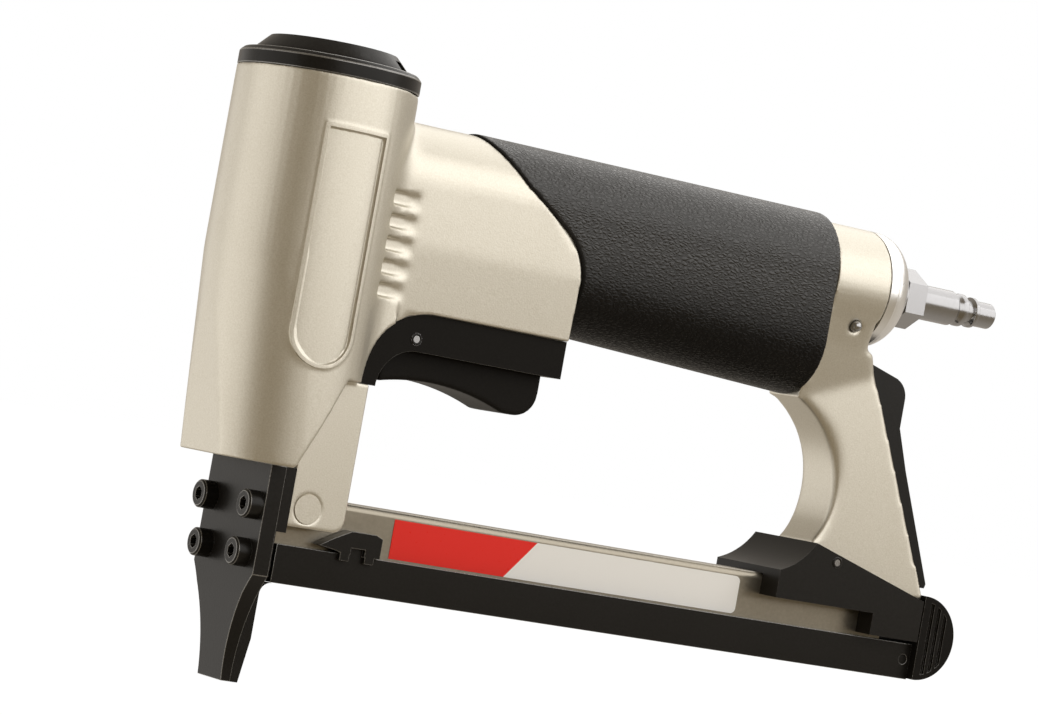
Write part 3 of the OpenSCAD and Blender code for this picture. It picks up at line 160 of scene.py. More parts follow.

# Black rings of painted shade on pin ends, as shares of the pin's radius, and how much they are flattened
RING_MIDDLE = 0.79
RING_SECTION = 0.2
RING_FLAT = 0.4
RING_SEGMENTS = (48, 12)

# Speckle of the finishes: scales per metre, detail and strength of its bump
SPECKLE_FINE_SCALE = 2600.0
SPECKLE_FINE_DETAIL = 1.0
SPECKLE_BROAD_SCALE = 60.0
SPECKLE_BROAD_DETAIL = 3.0
SPECKLE_BUMP = 0.35

# Leather grain of the grip: cells along the handle, warped by noise, with fine noise on top
LEATHER_CELL_SCALE = 1250.0
LEATHER_TURN = 20
LEATHER_STRETCH = (0.5, 1.0, 1.0)
LEATHER_WARP_SCALE = 680.0
LEATHER_WARP = 0.001
LEATHER_CREASE = 0.34
LEATHER_FINE_SCALE = 2400.0
LEATHER_FINE_SHARE = 0.7
LEATHER_DETAIL = 2.0

# Rubber of the grip: painted shade in the creases, a plain lip that faces forwards, and painted sheen on the
# upper half
GRIP_CREASE_SHADE_TONE = 0.5
GRIP_ROUGHNESS = (0.46, 0.25)
GRIP_LIP_FACING = (-0.35, -0.15)
GRIP_LIP_ROUGHNESS = 0.9
GRIP_PAINTED_SHEEN_Z = (104.0 * MM, 126.0 * MM)
GRIP_PAINTED_SHEEN = (0.12, 0.62)
GRIP_BUMP = 0.62
GRIP_BUMP_DEPTH = 0.00014

# Print of the label
LABEL_GRAIN_SCALE = 1400.0
LABEL_ROUGHNESS = (0.24, 0.36)
LABEL_BUMP = 0.15
LABEL_BUMP_DEPTH = 0.00002

# Floor: its place, and how much of its white is its own glow
FLOOR_SIZE = 12.0
FLOOR_Z = -0.0002
FLOOR_ROUGHNESS = 0.8
FLOOR_GLOW = 0.96
FLOOR_WHITE = 1.04

# Tones of the studio that the object mirrors from behind it, from the sides and from the camera's side,
# where the last two stand between behind (0) and the camera (1), and how much brighter it is below
SURROUND_BEHIND = (0.54, 0.49, 0.425)
SURROUND_ASIDE = (0.50, 0.45, 0.38)
SURROUND_FRONT = (0.25, 0.196, 0.12)
SURROUND_ASIDE_AT = 0.42
SURROUND_FRONT_AT = 0.8
SURROUND_BELOW = 1.1
SURROUND_HORIZON = (-0.4, 0.05)

# Soft boxes: degrees to the right of the camera's side and above the horizon, width and height in metres
LIGHT_DISTANCE = 0.9
LEFT_BOX = (-69.0, -5.0, 1.05, 1.3)
RIGHT_BOX = (53.5, 28.0, 1.64, 0.85)
TOP_BOX = (142.0, 51.0, 1.1, 0.8)
REAR_BOX = (-122.0, -10.0, 0.6, 0.7)


# Settings

def colour_setting(label, text, value):
    """A colour that a user may change."""
    return bpy.props.FloatVectorProperty(
        name=label, description=text, subtype="COLOR", size=3, min=0.0, max=1.0, default=value
    )


def length_setting(label, text, value):
    """A length in metres that a user may change."""
    return bpy.props.FloatProperty(
        name=label, description=text, default=value, min=0.0, unit="LENGTH", precision=5
    )


def power_setting(label, text, value):
    """A lamp's power in watts that a user may change."""
    return bpy.props.FloatProperty(name=label, description=text, default=value, min=0.0, unit="POWER")


class StaplerFinishes(bpy.types.PropertyGroup):
    """Colours of the finishes."""

    paint: colour_setting("Champagne paint", "Metallic paint of the casting", (0.70, 0.675, 0.605))
    paint_dark: colour_setting("Paint flakes", "Darker flakes in the metallic paint", (0.53, 0.495, 0.415))
    black: colour_setting("Black paint", "Paint of nose, cap, channel and bracket", (0.0065, 0.0058, 0.005))
    # Painted glint: a lighter colour on the rounded edges of the black parts that stands in for their
    # highlights
    black_edge_glint: colour_setting("Black edges", "Painted glint along the edges of the black parts", (0.25, 0.246, 0.24))
    rubber: colour_setting("Grip rubber", "Rubber of the grip", (0.0075, 0.0065, 0.0055))
    rail: colour_setting("Rail", "Grey-brown finish of the magazine rail", (0.33, 0.30, 0.245))
    label_red: colour_setting("Label red", "Red end of the blank label", (0.80, 0.020, 0.013))
    label_white: colour_setting("Label white", "White end of the blank label", (0.86, 0.86, 0.85))
    steel: colour_setting("Bright steel", "Pins, springs and the air plug", (0.38, 0.38, 0.39))
    polished: colour_setting("Satin alloy", "End cap of the handle", (0.88, 0.88, 0.88))
    brass: colour_setting("Brass", "Valve bodies", (0.60, 0.42, 0.16))
    seal: colour_setting("Seal rubber", "Rubber of the seals and the bumper", (0.02, 0.02, 0.02))


class StaplerShapes(bpy.types.PropertyGroup):
    """Sizes of the dressed pieces."""

    cast_voxel: length_setting("Casting voxel", "Voxels that the casting is rebuilt from", 0.00037)
    trigger_voxel: length_setting("Trigger voxel", "Voxels that the trigger is rebuilt from", 0.00025)
    grip_voxel: length_setting("Grip voxel", "Voxels that the grip is rebuilt from", 0.00045)
    edge_round: length_setting("Edge round", "Width of the rounded edges on black parts", 0.0004)
    fine_round: length_setting("Fine edge round", "Width of the rounded edges on small parts", 0.00018)
    label_thickness: length_setting("Label thickness", "Thickness of the blank label", 0.00012)


class StaplerStudio(bpy.types.PropertyGroup):
    """Light of the studio."""

    left_power: power_setting("Left light", "Power of the soft box at the left", 3.8)
    right_power: power_setting("Right light", "Power of the large soft box at the right", 7.6)
    top_power: power_setting("Top light", "Power of the soft box above", 3.6)
    rear_power: power_setting("Rear light", "Power of the small soft box behind on the left", 0.8)
    surround: bpy.props.FloatProperty(
        name="Surround", description="Brightness of the studio round the object", default=1.0, min=0.0
    )
    floor: colour_setting("Floor", "Pale floor", (0.86, 0.86, 0.86))


# Working on objects

def deselect_all():
    """Back to object mode with nothing selected."""
    if bpy.context.mode != "OBJECT":
        bpy.ops.object.mode_set(mode="OBJECT")
    bpy.ops.object.select_all(action="DESELECT")


def make_active(obj):
    """Only this object is selected and active."""
    deselect_all()
    obj.select_set(True)
    bpy.context.view_layer.objects.active = obj


def apply_modifier(obj, kind, **values):
    """Adds a modifier with these values and applies it."""
    make_active(obj)
    modifier = obj.modifiers.new(kind.title(), kind)
    for key, value in values.items():
        setattr(modifier, key, value)
    bpy.ops.object.modifier_apply(modifier=modifier.name)


def edit_all(obj):
    """Edit mode with the whole mesh selected."""
    make_active(obj)
    bpy.ops.object.mode_set(mode="EDIT")
    bpy.ops.mesh.select_all(action="SELECT")


def unselect_mesh(obj):
    """Object mode with nothing in the mesh selected, so that faces or edges can be chosen in code."""
    edit_all(obj)
    bpy.ops.mesh.select_all(action="DESELECT")
    bpy.ops.object.mode_set(mode="OBJECT")


def copy_of_node(node, name):
    """A new object with a copy of a CAD node's mesh, its loose triangles merged."""
    obj = bpy.data.objects.new(name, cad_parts[node].data.copy())
    obj.data.materials.clear()
    bpy.context.scene.collection.objects.link(obj)
    make_active(obj)
    if obj.data.has_custom_normals:
        bpy.ops.mesh.customdata_custom_splitnormals_clear()
    edit_all(obj)
    bpy.ops.mesh.remove_doubles(threshold=MERGE_DISTANCE)
    bpy.ops.object.mode_set(mode="OBJECT")
    return obj


def smooth_shaded(obj, angle_deg=35):
    """Smooth shading with edges sharper than this angle kept."""
    make_active(obj)
    bpy.ops.object.shade_smooth_by_angle(angle=math.radians(angle_deg))


def even_normals(obj):
    """Normals that follow the large faces, so that flat faces look flat beside rounded edges."""
    apply_modifier(obj, "WEIGHTED_NORMAL", weight=NORMAL_WEIGHT, keep_sharp=True)


def rounded_copy(node, name, finish, width, segments=2, angle_deg=28):
    """A copy of a CAD node, its flat faces joined and its sharp edges rounded in the finish of edges, a
    painted glint on black parts.
    """
    obj = copy_of_node(node, name)
    obj.data.materials.append(FINISHES[finish])
    obj.data.materials.append(FINISHES[EDGE_FINISH.get(finish, finish)])
    edit_all(obj)
    bpy.ops.mesh.dissolve_limited(angle_limit=math.radians(FLAT_ANGLE))
    bpy.ops.object.mode_set(mode="OBJECT")
    apply_modifier(
        obj, "BEVEL", width=width, segments=segments, limit_method="ANGLE",
        angle_limit=math.radians(angle_deg), use_clamp_overlap=True, loop_slide=True, material=1
    )
    smooth_shaded(obj)
    even_normals(obj)
    return obj


def rebuilt_copy(node, name, voxel):
    """A copy of a CAD node rebuilt from voxels, as the start of a moulded piece."""
    obj = copy_of_node(node, name)
    apply_modifier(obj, "REMESH", mode="VOXEL", voxel_size=voxel, adaptivity=0.0)
    return obj


def softened(obj, steps, group=""):
    """Smooths a rebuilt mesh, all over or by the weights of a vertex group."""
    apply_modifier(obj, "SMOOTH", factor=SMOOTH_FACTOR, iterations=steps, vertex_group=group)


def moulded(obj, triangles, angle_deg, finish):
    """Finishes a rebuilt mesh: fewer triangles, even shading and its material."""
    share = triangles / (2 * len(obj.data.polygons))
    apply_modifier(obj, "DECIMATE", decimate_type="COLLAPSE", ratio=min(share, 1.0))
    smooth_shaded(obj, angle_deg)
    even_normals(obj)
    obj.data.materials.append(FINISHES[finish])


def placed(obj, body, slot, *nodes):
    """Gives a finished piece its body and hides the CAD nodes that it stands for."""
    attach(obj, body)
    if nodes:
        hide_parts(*nodes)


def points_of(obj):
    """The mesh's points as three columns of numbers."""
    flat = np.empty(3 * len(obj.data.vertices))
    obj.data.vertices.foreach_get("co", flat)
    return flat.reshape(-1, 3).T


def weigh(obj, name, weights):
    """A vertex group from one weight per point, in even steps."""
    group = obj.vertex_groups.new(name=name)
    steps = np.round(np.clip(weights, 0.0, 1.0) * WEIGHT_STEPS).astype(int)
    for step in range(1, WEIGHT_STEPS + 1):
        chosen = np.flatnonzero(steps == step)
        if len(chosen):
            group.add(chosen.tolist(), step / WEIGHT_STEPS, "REPLACE")


def rise(values, low, high):
    """0 below low, 1 above high and smooth between."""
    t = np.clip((values - low) / (high - low), 0.0, 1.0)
    return t * t * (3.0 - 2.0 * t)


def fall(values, low, high):
    """1 below low, 0 above high and smooth between."""
    return 1.0 - rise(values, low, high)


def between(values, low, high, soft):
    """1 between low and high, falling to 0 over a soft width outside them."""
    return rise(values, low - soft, low) * fall(values, high, high + soft)


# Shader nodes

def new_group(name, inputs, outputs):
    """An empty shader node group with named sockets."""
    tree = bpy.data.node_groups.new(name, "ShaderNodeTree")
    for label, kind, value in inputs:
        socket = tree.interface.new_socket(name=label, in_out="INPUT", socket_type=kind)
        socket.default_value = value
    for label, kind in outputs:
        tree.interface.new_socket(name=label, in_out="OUTPUT", socket_type=kind)
    return tree, tree.nodes.new("NodeGroupInput"), tree.nodes.new("NodeGroupOutput")


def feed(tree, value, socket):
    """Gives a socket its value, a number or another socket."""
    if isinstance(value, (int, float)):
        socket.default_value = value
    else:
        tree.links.new(value, socket)


def math_node(tree, operation, first, second):
    """A Math node whose inputs are sockets or numbers."""
    node = tree.nodes.new("ShaderNodeMath")
    node.operation = operation
    feed(tree, first, node.inputs[0])
    feed(tree, second, node.inputs[1])
    return node.outputs[0]


def mapped(tree, value, source=(0.0, 1.0), target=(0.0, 1.0), smooth=False):
    """Maps a source range onto a target range, held at the ends."""
    node = tree.nodes.new("ShaderNodeMapRange")
    if smooth:
        node.interpolation_type = "SMOOTHSTEP"
    for label, number in zip(("From Min", "From Max", "To Min", "To Max"), (*source, *target)):
        node.inputs[label].default_value = number
    tree.links.new(value, node.inputs["Value"])
    return node.outputs["Result"]


def axes_of(tree, vector):
    """The three parts of a vector, by X, Y and Z."""
    node = tree.nodes.new("ShaderNodeSeparateXYZ")
    tree.links.new(vector, node.inputs["Vector"])
    return node.outputs


def noise_node(tree, vector, scale, detail):
    """A noise texture on these coordinates, its scale a socket or a number."""
    node = tree.nodes.new("ShaderNodeTexNoise")
    node.inputs["Detail"].default_value = detail
    tree.links.new(vector, node.inputs["Vector"])
    feed(tree, scale, node.inputs["Scale"])
    return node


def mixed_colour(tree, mask, first, second):
    """One colour where the mask is 0, the other where it is 1."""
    node = tree.nodes.new("ShaderNodeMix")
    node.data_type = "RGBA"
    colours = [socket for socket in node.inputs if socket.type == "RGBA"]
    colours[0].default_value = (*first, 1.0)
    colours[1].default_value = (*second, 1.0)
    tree.links.new(mask, node.inputs[0])
    return next(socket for socket in node.outputs if socket.type == "RGBA")


def speckle_group():
    """Fine flakes and broad clouds, both on Object coordinates in metres."""
    tree, given, put = new_group(
        "Speckle",
        [
            ("Fine Scale", "NodeSocketFloat", SPECKLE_FINE_SCALE),
            ("Broad Scale", "NodeSocketFloat", SPECKLE_BROAD_SCALE),
        ],
        [("Fine", "NodeSocketFloat"), ("Broad", "NodeSocketFloat")],
    )
    place = tree.nodes.new("ShaderNodeTexCoord").outputs["Object"]
    for name, detail in (("Fine", SPECKLE_FINE_DETAIL), ("Broad", SPECKLE_BROAD_DETAIL)):
        noise = noise_node(tree, place, given.outputs[f"{name} Scale"], detail)
        tree.links.new(noise.outputs["Fac"], put.inputs[name])


def leather_group():
    """Grain of moulded leather-look rubber: stretched cells with creases, as a height."""
    tree, given, put = new_group(
        "Leather Grain",
        [("Cell Scale", "NodeSocketFloat", LEATHER_CELL_SCALE)],
        [("Height", "NodeSocketFloat"), ("Crease", "NodeSocketFloat")],
    )
    place = tree.nodes.new("ShaderNodeTexCoord")
    stretch = tree.nodes.new("ShaderNodeMapping")
    stretch.inputs["Rotation"].default_value = (0.0, math.radians(LEATHER_TURN), 0.0)
    stretch.inputs["Scale"].default_value = LEATHER_STRETCH
    tree.links.new(place.outputs["Object"], stretch.inputs["Vector"])
    stretched = stretch.outputs["Vector"]
    warp = noise_node(tree, stretched, LEATHER_WARP_SCALE, LEATHER_DETAIL)
    bend = tree.nodes.new("ShaderNodeVectorMath")
    bend.operation = "MULTIPLY_ADD"
    bend.inputs[1].default_value = (LEATHER_WARP, LEATHER_WARP, LEATHER_WARP)
    tree.links.new(warp.outputs["Color"], bend.inputs[0])
    tree.links.new(stretched, bend.inputs[2])
    cells = tree.nodes.new("ShaderNodeTexVoronoi")
    cells.feature = "DISTANCE_TO_EDGE"
    tree.links.new(bend.outputs["Vector"], cells.inputs["Vector"])
    tree.links.new(given.outputs["Cell Scale"], cells.inputs["Scale"])
    crease = mapped(tree, cells.outputs["Distance"], source=(0.0, LEATHER_CREASE), smooth=True)
    fine = noise_node(tree, stretched, LEATHER_FINE_SCALE, LEATHER_DETAIL)
    grain = math_node(tree, "MULTIPLY", fine.outputs["Fac"], LEATHER_FINE_SHARE)
    height = math_node(tree, "ADD", crease, grain)
    tree.links.new(height, put.inputs["Height"])
    tree.links.new(crease, put.inputs["Crease"])


def new_material(name, **constants):
    """A material with one Principled shader, its constants set by socket name."""
    material = bpy.data.materials.new(name)
    material.use_nodes = True
    tree = material.node_tree
    shader = tree.nodes["Principled BSDF"]
    for label, value in constants.items():
        socket = shader.inputs[label.replace("_", " ").title().replace("Ior", "IOR")]
        socket.default_value = (*value, 1.0) if socket.type == "RGBA" else value
    return material, tree, shader


def place_group(tree, group_name, **values):
    """A shared node group in a material with its own input values."""
    node = tree.nodes.new("ShaderNodeGroup")
    node.node_tree = bpy.data.node_groups[group_name]
    for label, value in values.items():
        node.inputs[label.replace("_", " ").title()].default_value = value
    return node


def bumped(tree, shader, height, strength, depth):
    """A height that bends the shader's normal."""
    bump = tree.nodes.new("ShaderNodeBump")
    bump.inputs["Strength"].default_value = strength
    bump.inputs["Distance"].default_value = depth
    tree.links.new(height, bump.inputs["Height"])
    tree.links.new(bump.outputs["Normal"], shader.inputs["Normal"])


# Finishes

def toned(colour, share):
    """A colour made darker or lighter."""
    return tuple(share * part for part in colour)


def speckled_material(name, colour, flake, roughness, fine_scale, bump_depth, **constants):
    """A finish with flakes in its colour, uneven gloss and a fine bump."""
    material, tree, shader = new_material(name, **constants)
    grain = place_group(tree, "Speckle", fine_scale=fine_scale)
    tree.links.new(mixed_colour(tree, grain.outputs["Fine"], flake, colour), shader.inputs["Base Color"])
    both = math_node(tree, "ADD", grain.outputs["Fine"], grain.outputs["Broad"])
    middle = math_node(tree, "MULTIPLY", both, 0.5)
    tree.links.new(mapped(tree, middle, target=roughness), shader.inputs["Roughness"])
    bumped(tree, shader, grain.outputs["Fine"], SPECKLE_BUMP, bump_depth)
    return material


def rubber_material(rubber):
    """Leather-grained black rubber with painted shade in its creases and a painted sheen along its top, with
    a plain dull lip along its front edge.
    """
    material, tree, shader = new_material("grip_rubber")
    leather = place_group(tree, "Leather Grain")
    crease = leather.outputs["Crease"]
    # Painted shade: the creases of the grain take a darker rubber colour
    colour = mixed_colour(tree, crease, toned(rubber, GRIP_CREASE_SHADE_TONE), rubber)
    tree.links.new(colour, shader.inputs["Base Color"])
    place = tree.nodes.new("ShaderNodeTexCoord")
    facing = axes_of(tree, place.outputs["Normal"])["X"]
    grained = mapped(tree, facing, source=GRIP_LIP_FACING)
    roughness = mapped(tree, crease, target=GRIP_ROUGHNESS)
    to_lip = math_node(tree, "SUBTRACT", GRIP_LIP_ROUGHNESS, roughness)
    lip = math_node(tree, "SUBTRACT", 1.0, grained)
    with_lip = math_node(tree, "ADD", roughness, math_node(tree, "MULTIPLY", to_lip, lip))
    tree.links.new(with_lip, shader.inputs["Roughness"])
    # Painted sheen: more reflection on the upper half and less below, set by height
    height_on_tool = axes_of(tree, place.outputs["Object"])["Z"]
    upper = mapped(tree, height_on_tool, source=GRIP_PAINTED_SHEEN_Z, smooth=True)
    tree.links.new(mapped(tree, upper, target=GRIP_PAINTED_SHEEN), shader.inputs["Specular IOR Level"])
    relief = math_node(tree, "MULTIPLY", leather.outputs["Height"], grained)
    bumped(tree, shader, relief, GRIP_BUMP, GRIP_BUMP_DEPTH)
    return material


def label_material(red, white):
    """A blank printed label: red to a slanted split, then white."""
    material, tree, shader = new_material("blank_label", specular_ior_level=0.35, coat_weight=0.1)
    place = tree.nodes.new("ShaderNodeTexCoord")
    axes = axes_of(tree, place.outputs["Object"])
    leaned = math_node(tree, "MULTIPLY", axes["Z"], LABEL_SPLIT_LEAN)
    across = math_node(tree, "SUBTRACT", axes["X"], leaned)
    mask = math_node(tree, "GREATER_THAN", across, LABEL_SPLIT_X)
    tree.links.new(mixed_colour(tree, mask, red, white), shader.inputs["Base Color"])
    grain = place_group(tree, "Speckle", fine_scale=LABEL_GRAIN_SCALE)
    roughness = mapped(tree, grain.outputs["Fine"], target=LABEL_ROUGHNESS)
    tree.links.new(roughness, shader.inputs["Roughness"])
    bumped(tree, shader, grain.outputs["Fine"], LABEL_BUMP, LABEL_BUMP_DEPTH)
    return material


def make_materials(finishes):
    """All finishes by name."""
    speckle_group()
    leather_group()
    black = toned(finishes.black, 1.8)
    return {
        "paint": speckled_material(
            "champagne_paint", tuple(finishes.paint), tuple(finishes.paint_dark), roughness=(0.34, 0.46),
            fine_scale=2600.0, bump_depth=0.00005, metallic=0.9, coat_weight=0.06, coat_roughness=0.3
        ),
        "black": speckled_material(
            "black_paint", black, tuple(finishes.black), roughness=(0.26, 0.38),
            fine_scale=1500.0, bump_depth=0.00004, specular_ior_level=0.2
        ),
        "black_plastic": speckled_material(
            "black_plastic", black, tuple(finishes.black), roughness=(0.38, 0.5),
            fine_scale=2200.0, bump_depth=0.00003, specular_ior_level=0.07
        ),
        # Painted glint on the rounded edges of black parts: lighter and glossier than the black paint
        "black_edge_glint": speckled_material(
            "black_edge_glint", tuple(finishes.black_edge_glint), toned(finishes.black_edge_glint, 0.7), roughness=(0.2, 0.34),
            fine_scale=1500.0, bump_depth=0.00002, metallic=0.6
        ),
        "rail": speckled_material(
            "rail_finish", tuple(finishes.rail), toned(finishes.rail, 0.8), roughness=(0.26, 0.36),
            fine_scale=1200.0, bump_depth=0.00002, metallic=0.9
        ),
        "steel": speckled_material(
            "bright_steel", tuple(finishes.steel), toned(finishes.steel, 0.9), roughness=(0.17, 0.28),
            fine_scale=900.0, bump_depth=0.00001, metallic=1.0
        ),
        "polished": speckled_material(
            "satin_alloy", tuple(finishes.polished), toned(finishes.polished, 0.92), roughness=(0.24, 0.34),
            fine_scale=700.0, bump_depth=0.00001, metallic=1.0
        ),
        "brass": speckled_material(
            "turned_brass", tuple(finishes.brass), toned(finishes.brass, 0.85), roughness=(0.2, 0.35),
            fine_scale=900.0, bump_depth=0.00001, metallic=1.0
        ),
        "seal": speckled_material(
            "seal_rubber", tuple(finishes.seal), toned(finishes.seal, 0.6), roughness=(0.5, 0.7),
            fine_scale=1500.0, bump_depth=0.00003
        ),
        "rubber": rubber_material(tuple(finishes.rubber)),
        "label": label_material(tuple(finishes.label_red), tuple(finishes.label_white)),
    }


# Pieces

class STAPLER_OT_casting(bpy.types.Operator):
    """Die-cast body with soft edges and fillets"""

    bl_idname = "stapler.casting"
    bl_label = "Casting"

    def execute(self, context):
        shapes = context.scene.stapler_shapes
        body = rebuilt_copy("main_casting", "casting", shapes.cast_voxel)
        self.weigh_blends(body)
        softened(body, CAST_STEPS)
        softened(body, CAST_BLEND_STEPS, "blends")
        moulded(body, CAST_TRIANGLES, CAST_ANGLE, "paint")
        placed(body, "frame", "casting", "main_casting")
        self.make_panel(shapes)
        return {"FINISHED"}

    def weigh_blends(self, body):
        """Weights for smoothing the casting where its forms flow together."""
        x, _, z = points_of(body) / MM
        to_gap = np.hypot(x - GAP_X, z - GAP_Z)
        gap_rim = between(to_gap, *LEG_FRONT_SPAN)
        leg_front = gap_rim * rise(x, *LEG_FRONT_RISE_X) * rise(z, *LEG_FRONT_RISE_Z)
        leg_top = rise(x, *LEG_TOP_RISE_X) * between(z, *LEG_TOP_SPAN_Z) * fall(x, *LEG_TOP_FALL_X)
        leg_heel = between(x, *LEG_HEEL_SPAN_X) * between(z, *LEG_HEEL_SPAN_Z)
        leg_edges = LEG_EDGE_SHARE * rise(x, *LEG_EDGE_RISE_X) * between(z, *LEG_EDGE_SPAN_Z)
        neck_top = between(x, *NECK_TOP_SPAN_X) * between(z, *NECK_TOP_SPAN_Z)
        neck_side = between(x, *NECK_SIDE_SPAN_X) * between(z, *NECK_SIDE_SPAN_Z)
        rib_place = RIB_END_SHARE * rise(x, *RIB_END_RISE_X) * fall(x, *RIB_END_FALL_X)
        rib_ends = rib_place * between(z, *RIB_END_SPAN_Z)
        facet = FACET_SHARE * (fall(x, *FACET_FALL_X) * between(z, *FACET_SPAN_Z))
        flows = [leg_front, leg_top, leg_heel, leg_edges, neck_top, neck_side, rib_ends, facet]
        weigh(body, "blends", np.maximum.reduce(flows))

    def make_panel(self, shapes):
        """The sunk panel and its raised rim, cut from the CAD surface and laid over the casting."""
        panel = copy_of_node("main_casting", "panel")
        panel.data.materials.append(FINISHES["paint"])
        unselect_mesh(panel)
        x, y, z = points_of(panel)
        below_round = np.minimum(z - PANEL_ROUND_Z, 0.0)
        inside = np.hypot(x - PANEL_X, below_round) < PANEL_HALF_W + PANEL_LAY
        inside &= (z < PANEL_TOP_Z + PANEL_LAY) & (y < 0.0)
        inside &= np.hypot(x, y) > PANEL_FLOOR_R
        for face in panel.data.polygons:
            face.select = not all(inside[index] for index in face.vertices)
        bpy.ops.object.mode_set(mode="EDIT")
        bpy.ops.mesh.select_mode(type="FACE")
        bpy.ops.mesh.delete(type="FACE")
        bpy.ops.mesh.select_all(action="SELECT")
        bpy.ops.mesh.dissolve_limited(angle_limit=math.radians(FLAT_ANGLE))
        bpy.ops.object.mode_set(mode="OBJECT")
        apply_modifier(
            panel, "BEVEL", width=shapes.fine_round, segments=PANEL_SEGMENTS, limit_method="ANGLE",
            angle_limit=math.radians(PANEL_ANGLE), use_clamp_overlap=True
        )
        apply_modifier(panel, "SOLIDIFY", thickness=PANEL_THICKNESS, offset=PANEL_OFFSET)
        smooth_shaded(panel)
        even_normals(panel)
        placed(panel, "frame", "casting")


class STAPLER_OT_grip(bpy.types.Operator):
    """Grained rubber sleeve on the handle"""

    bl_idname = "stapler.grip"
    bl_label = "Grip"

    def execute(self, context):
        shapes = context.scene.stapler_shapes
        grip = rebuilt_copy("grip_sleeve", "grip", shapes.grip_voxel)
        softened(grip, GRIP_STEPS)
        x = points_of(grip)[0] / MM
        weigh(grip, "front_lip", fall(x, *GRIP_LIP_X))
        softened(grip, GRIP_LIP_STEPS, "front_lip")
        moulded(grip, GRIP_TRIANGLES, GRIP_ANGLE, "rubber")
        placed(grip, "frame", "grip", "grip_sleeve")
        return {"FINISHED"}


class STAPLER_OT_cap(bpy.types.Operator):
    """Two-tier black cap on the head"""

    bl_idname = "stapler.cap"
    bl_label = "Cap"

    def execute(self, context):
        shapes = context.scene.stapler_shapes
        for node, name in (("cylinder_cap", "cap_base"), ("exhaust_cover", "cap_cover")):
            piece = rounded_copy(node, name, "black", shapes.edge_round)
            placed(piece, "frame", "black_metal", node)
        return {"FINISHED"}


class STAPLER_OT_nose(bpy.types.Operator):
    """Flared front plate, driver guide and their screws"""

    bl_idname = "stapler.nose"
    bl_label = "Nose"

    def execute(self, context):
        shapes = context.scene.stapler_shapes
        for node, name in (("front_plate", "nose_plate"), ("driver_guide", "nose_guide")):
            piece = rounded_copy(node, name, "black", BROAD_ROUND * shapes.edge_round, BROAD_SEGMENTS)
            placed(piece, "frame", "black_metal", node)
        screws = rounded_copy("nose_screws", "nose_socket_screws", "black", shapes.fine_round)
        placed(screws, "frame", "black_metal", "nose_screws")
        return {"FINISHED"}


class STAPLER_OT_trigger(bpy.types.Operator):
    """Trigger and the fixed housing round it"""

    bl_idname = "stapler.trigger"
    bl_label = "Trigger"

    def execute(self, context):
        shapes = context.scene.stapler_shapes
        housing = rounded_copy("trigger_housing", "trigger_guard", "black_plastic", shapes.edge_round)
        placed(housing, "frame", "black_plastic", "trigger_housing")
        lever = rebuilt_copy("trigger", "trigger_lever", shapes.trigger_voxel)
        softened(lever, TRIGGER_STEPS)
        moulded(lever, TRIGGER_TRIANGLES, TRIGGER_ANGLE, "black_plastic")
        placed(lever, "trigger", "black_plastic", "trigger")
        return {"FINISHED"}


class STAPLER_OT_inlet(bpy.types.Operator):
    """Polished end cap and air plug"""

    bl_idname = "stapler.inlet"
    bl_label = "Air inlet"

    def execute(self, context):
        shapes = context.scene.stapler_shapes
        cap = rounded_copy("end_cap", "inlet_cap", "polished", shapes.fine_round)
        placed(cap, "frame", "polished", "end_cap")
        plug_width = PLUG_ROUND * shapes.fine_round
        plug = rounded_copy("air_plug", "inlet_plug", "steel", plug_width, angle_deg=PLUG_ANGLE)
        smooth_shaded(plug, PLUG_ANGLE)
        placed(plug, "frame", "steel", "air_plug")
        return {"FINISHED"}


class STAPLER_OT_rail(bpy.types.Operator):
    """Fixed magazine rail with its blank label"""

    bl_idname = "stapler.rail"
    bl_label = "Rail"

    def execute(self, context):
        shapes = context.scene.stapler_shapes
        width = BROAD_ROUND * shapes.edge_round
        rail = rounded_copy("magazine_rail", "rail", "rail", width, BROAD_SEGMENTS)
        placed(rail, "frame", "rail", "magazine_rail")
        label = self.make_label(shapes.label_thickness)
        label.data.materials.append(FINISHES["label"])
        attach(label, "frame")
        return {"FINISHED"}

    def make_label(self, thick):
        """A thin plate on the rail's left side with rounded rear corners."""
        deselect_all()
        bpy.ops.mesh.primitive_cube_add(size=1.0)
        label = bpy.context.active_object
        label.name = "blank_label"
        size = (LABEL_X[1] - LABEL_X[0], thick, LABEL_Z[1] - LABEL_Z[0], 1.0)
        label.data.transform(Matrix.Diagonal(size))
        middle = Vector((sum(LABEL_X) / 2, RAIL_SIDE_Y - thick / 2, sum(LABEL_Z) / 2))
        label.data.transform(Matrix.Translation(middle))
        unselect_mesh(label)
        for edge in label.data.edges:
            ends = [label.data.vertices[index].co for index in edge.vertices]
            edge.select = all(end.x > middle.x for end in ends) and abs(ends[0].y - ends[1].y) > thick / 2
        bpy.ops.object.mode_set(mode="EDIT")
        bpy.ops.mesh.bevel(offset=LABEL_CORNER, segments=LABEL_CORNER_SEGMENTS, affect="EDGES")
        bpy.ops.object.mode_set(mode="OBJECT")
        apply_modifier(label, "BEVEL", width=LABEL_EDGE_SHARE * thick, segments=2, limit_method="ANGLE")
        return label


class STAPLER_OT_channel(bpy.types.Operator):
    """Sliding channel, its clips and its end pull"""

    bl_idname = "stapler.channel"
    bl_label = "Channel"

    def execute(self, context):
        shapes = context.scene.stapler_shapes
        channel = rounded_copy("magazine_channel", "channel", "black", shapes.edge_round)
        placed(channel, "magazine", "black_metal", "magazine_channel")
        clips = rounded_copy("stop_clip", "clips", "black", shapes.edge_round)
        placed(clips, "magazine", "black_metal", "stop_clip")
        pull = rounded_copy("end_pull", "pull", "black_plastic", shapes.edge_round)
        placed(pull, "magazine", "black_plastic", "end_pull")
        return {"FINISHED"}


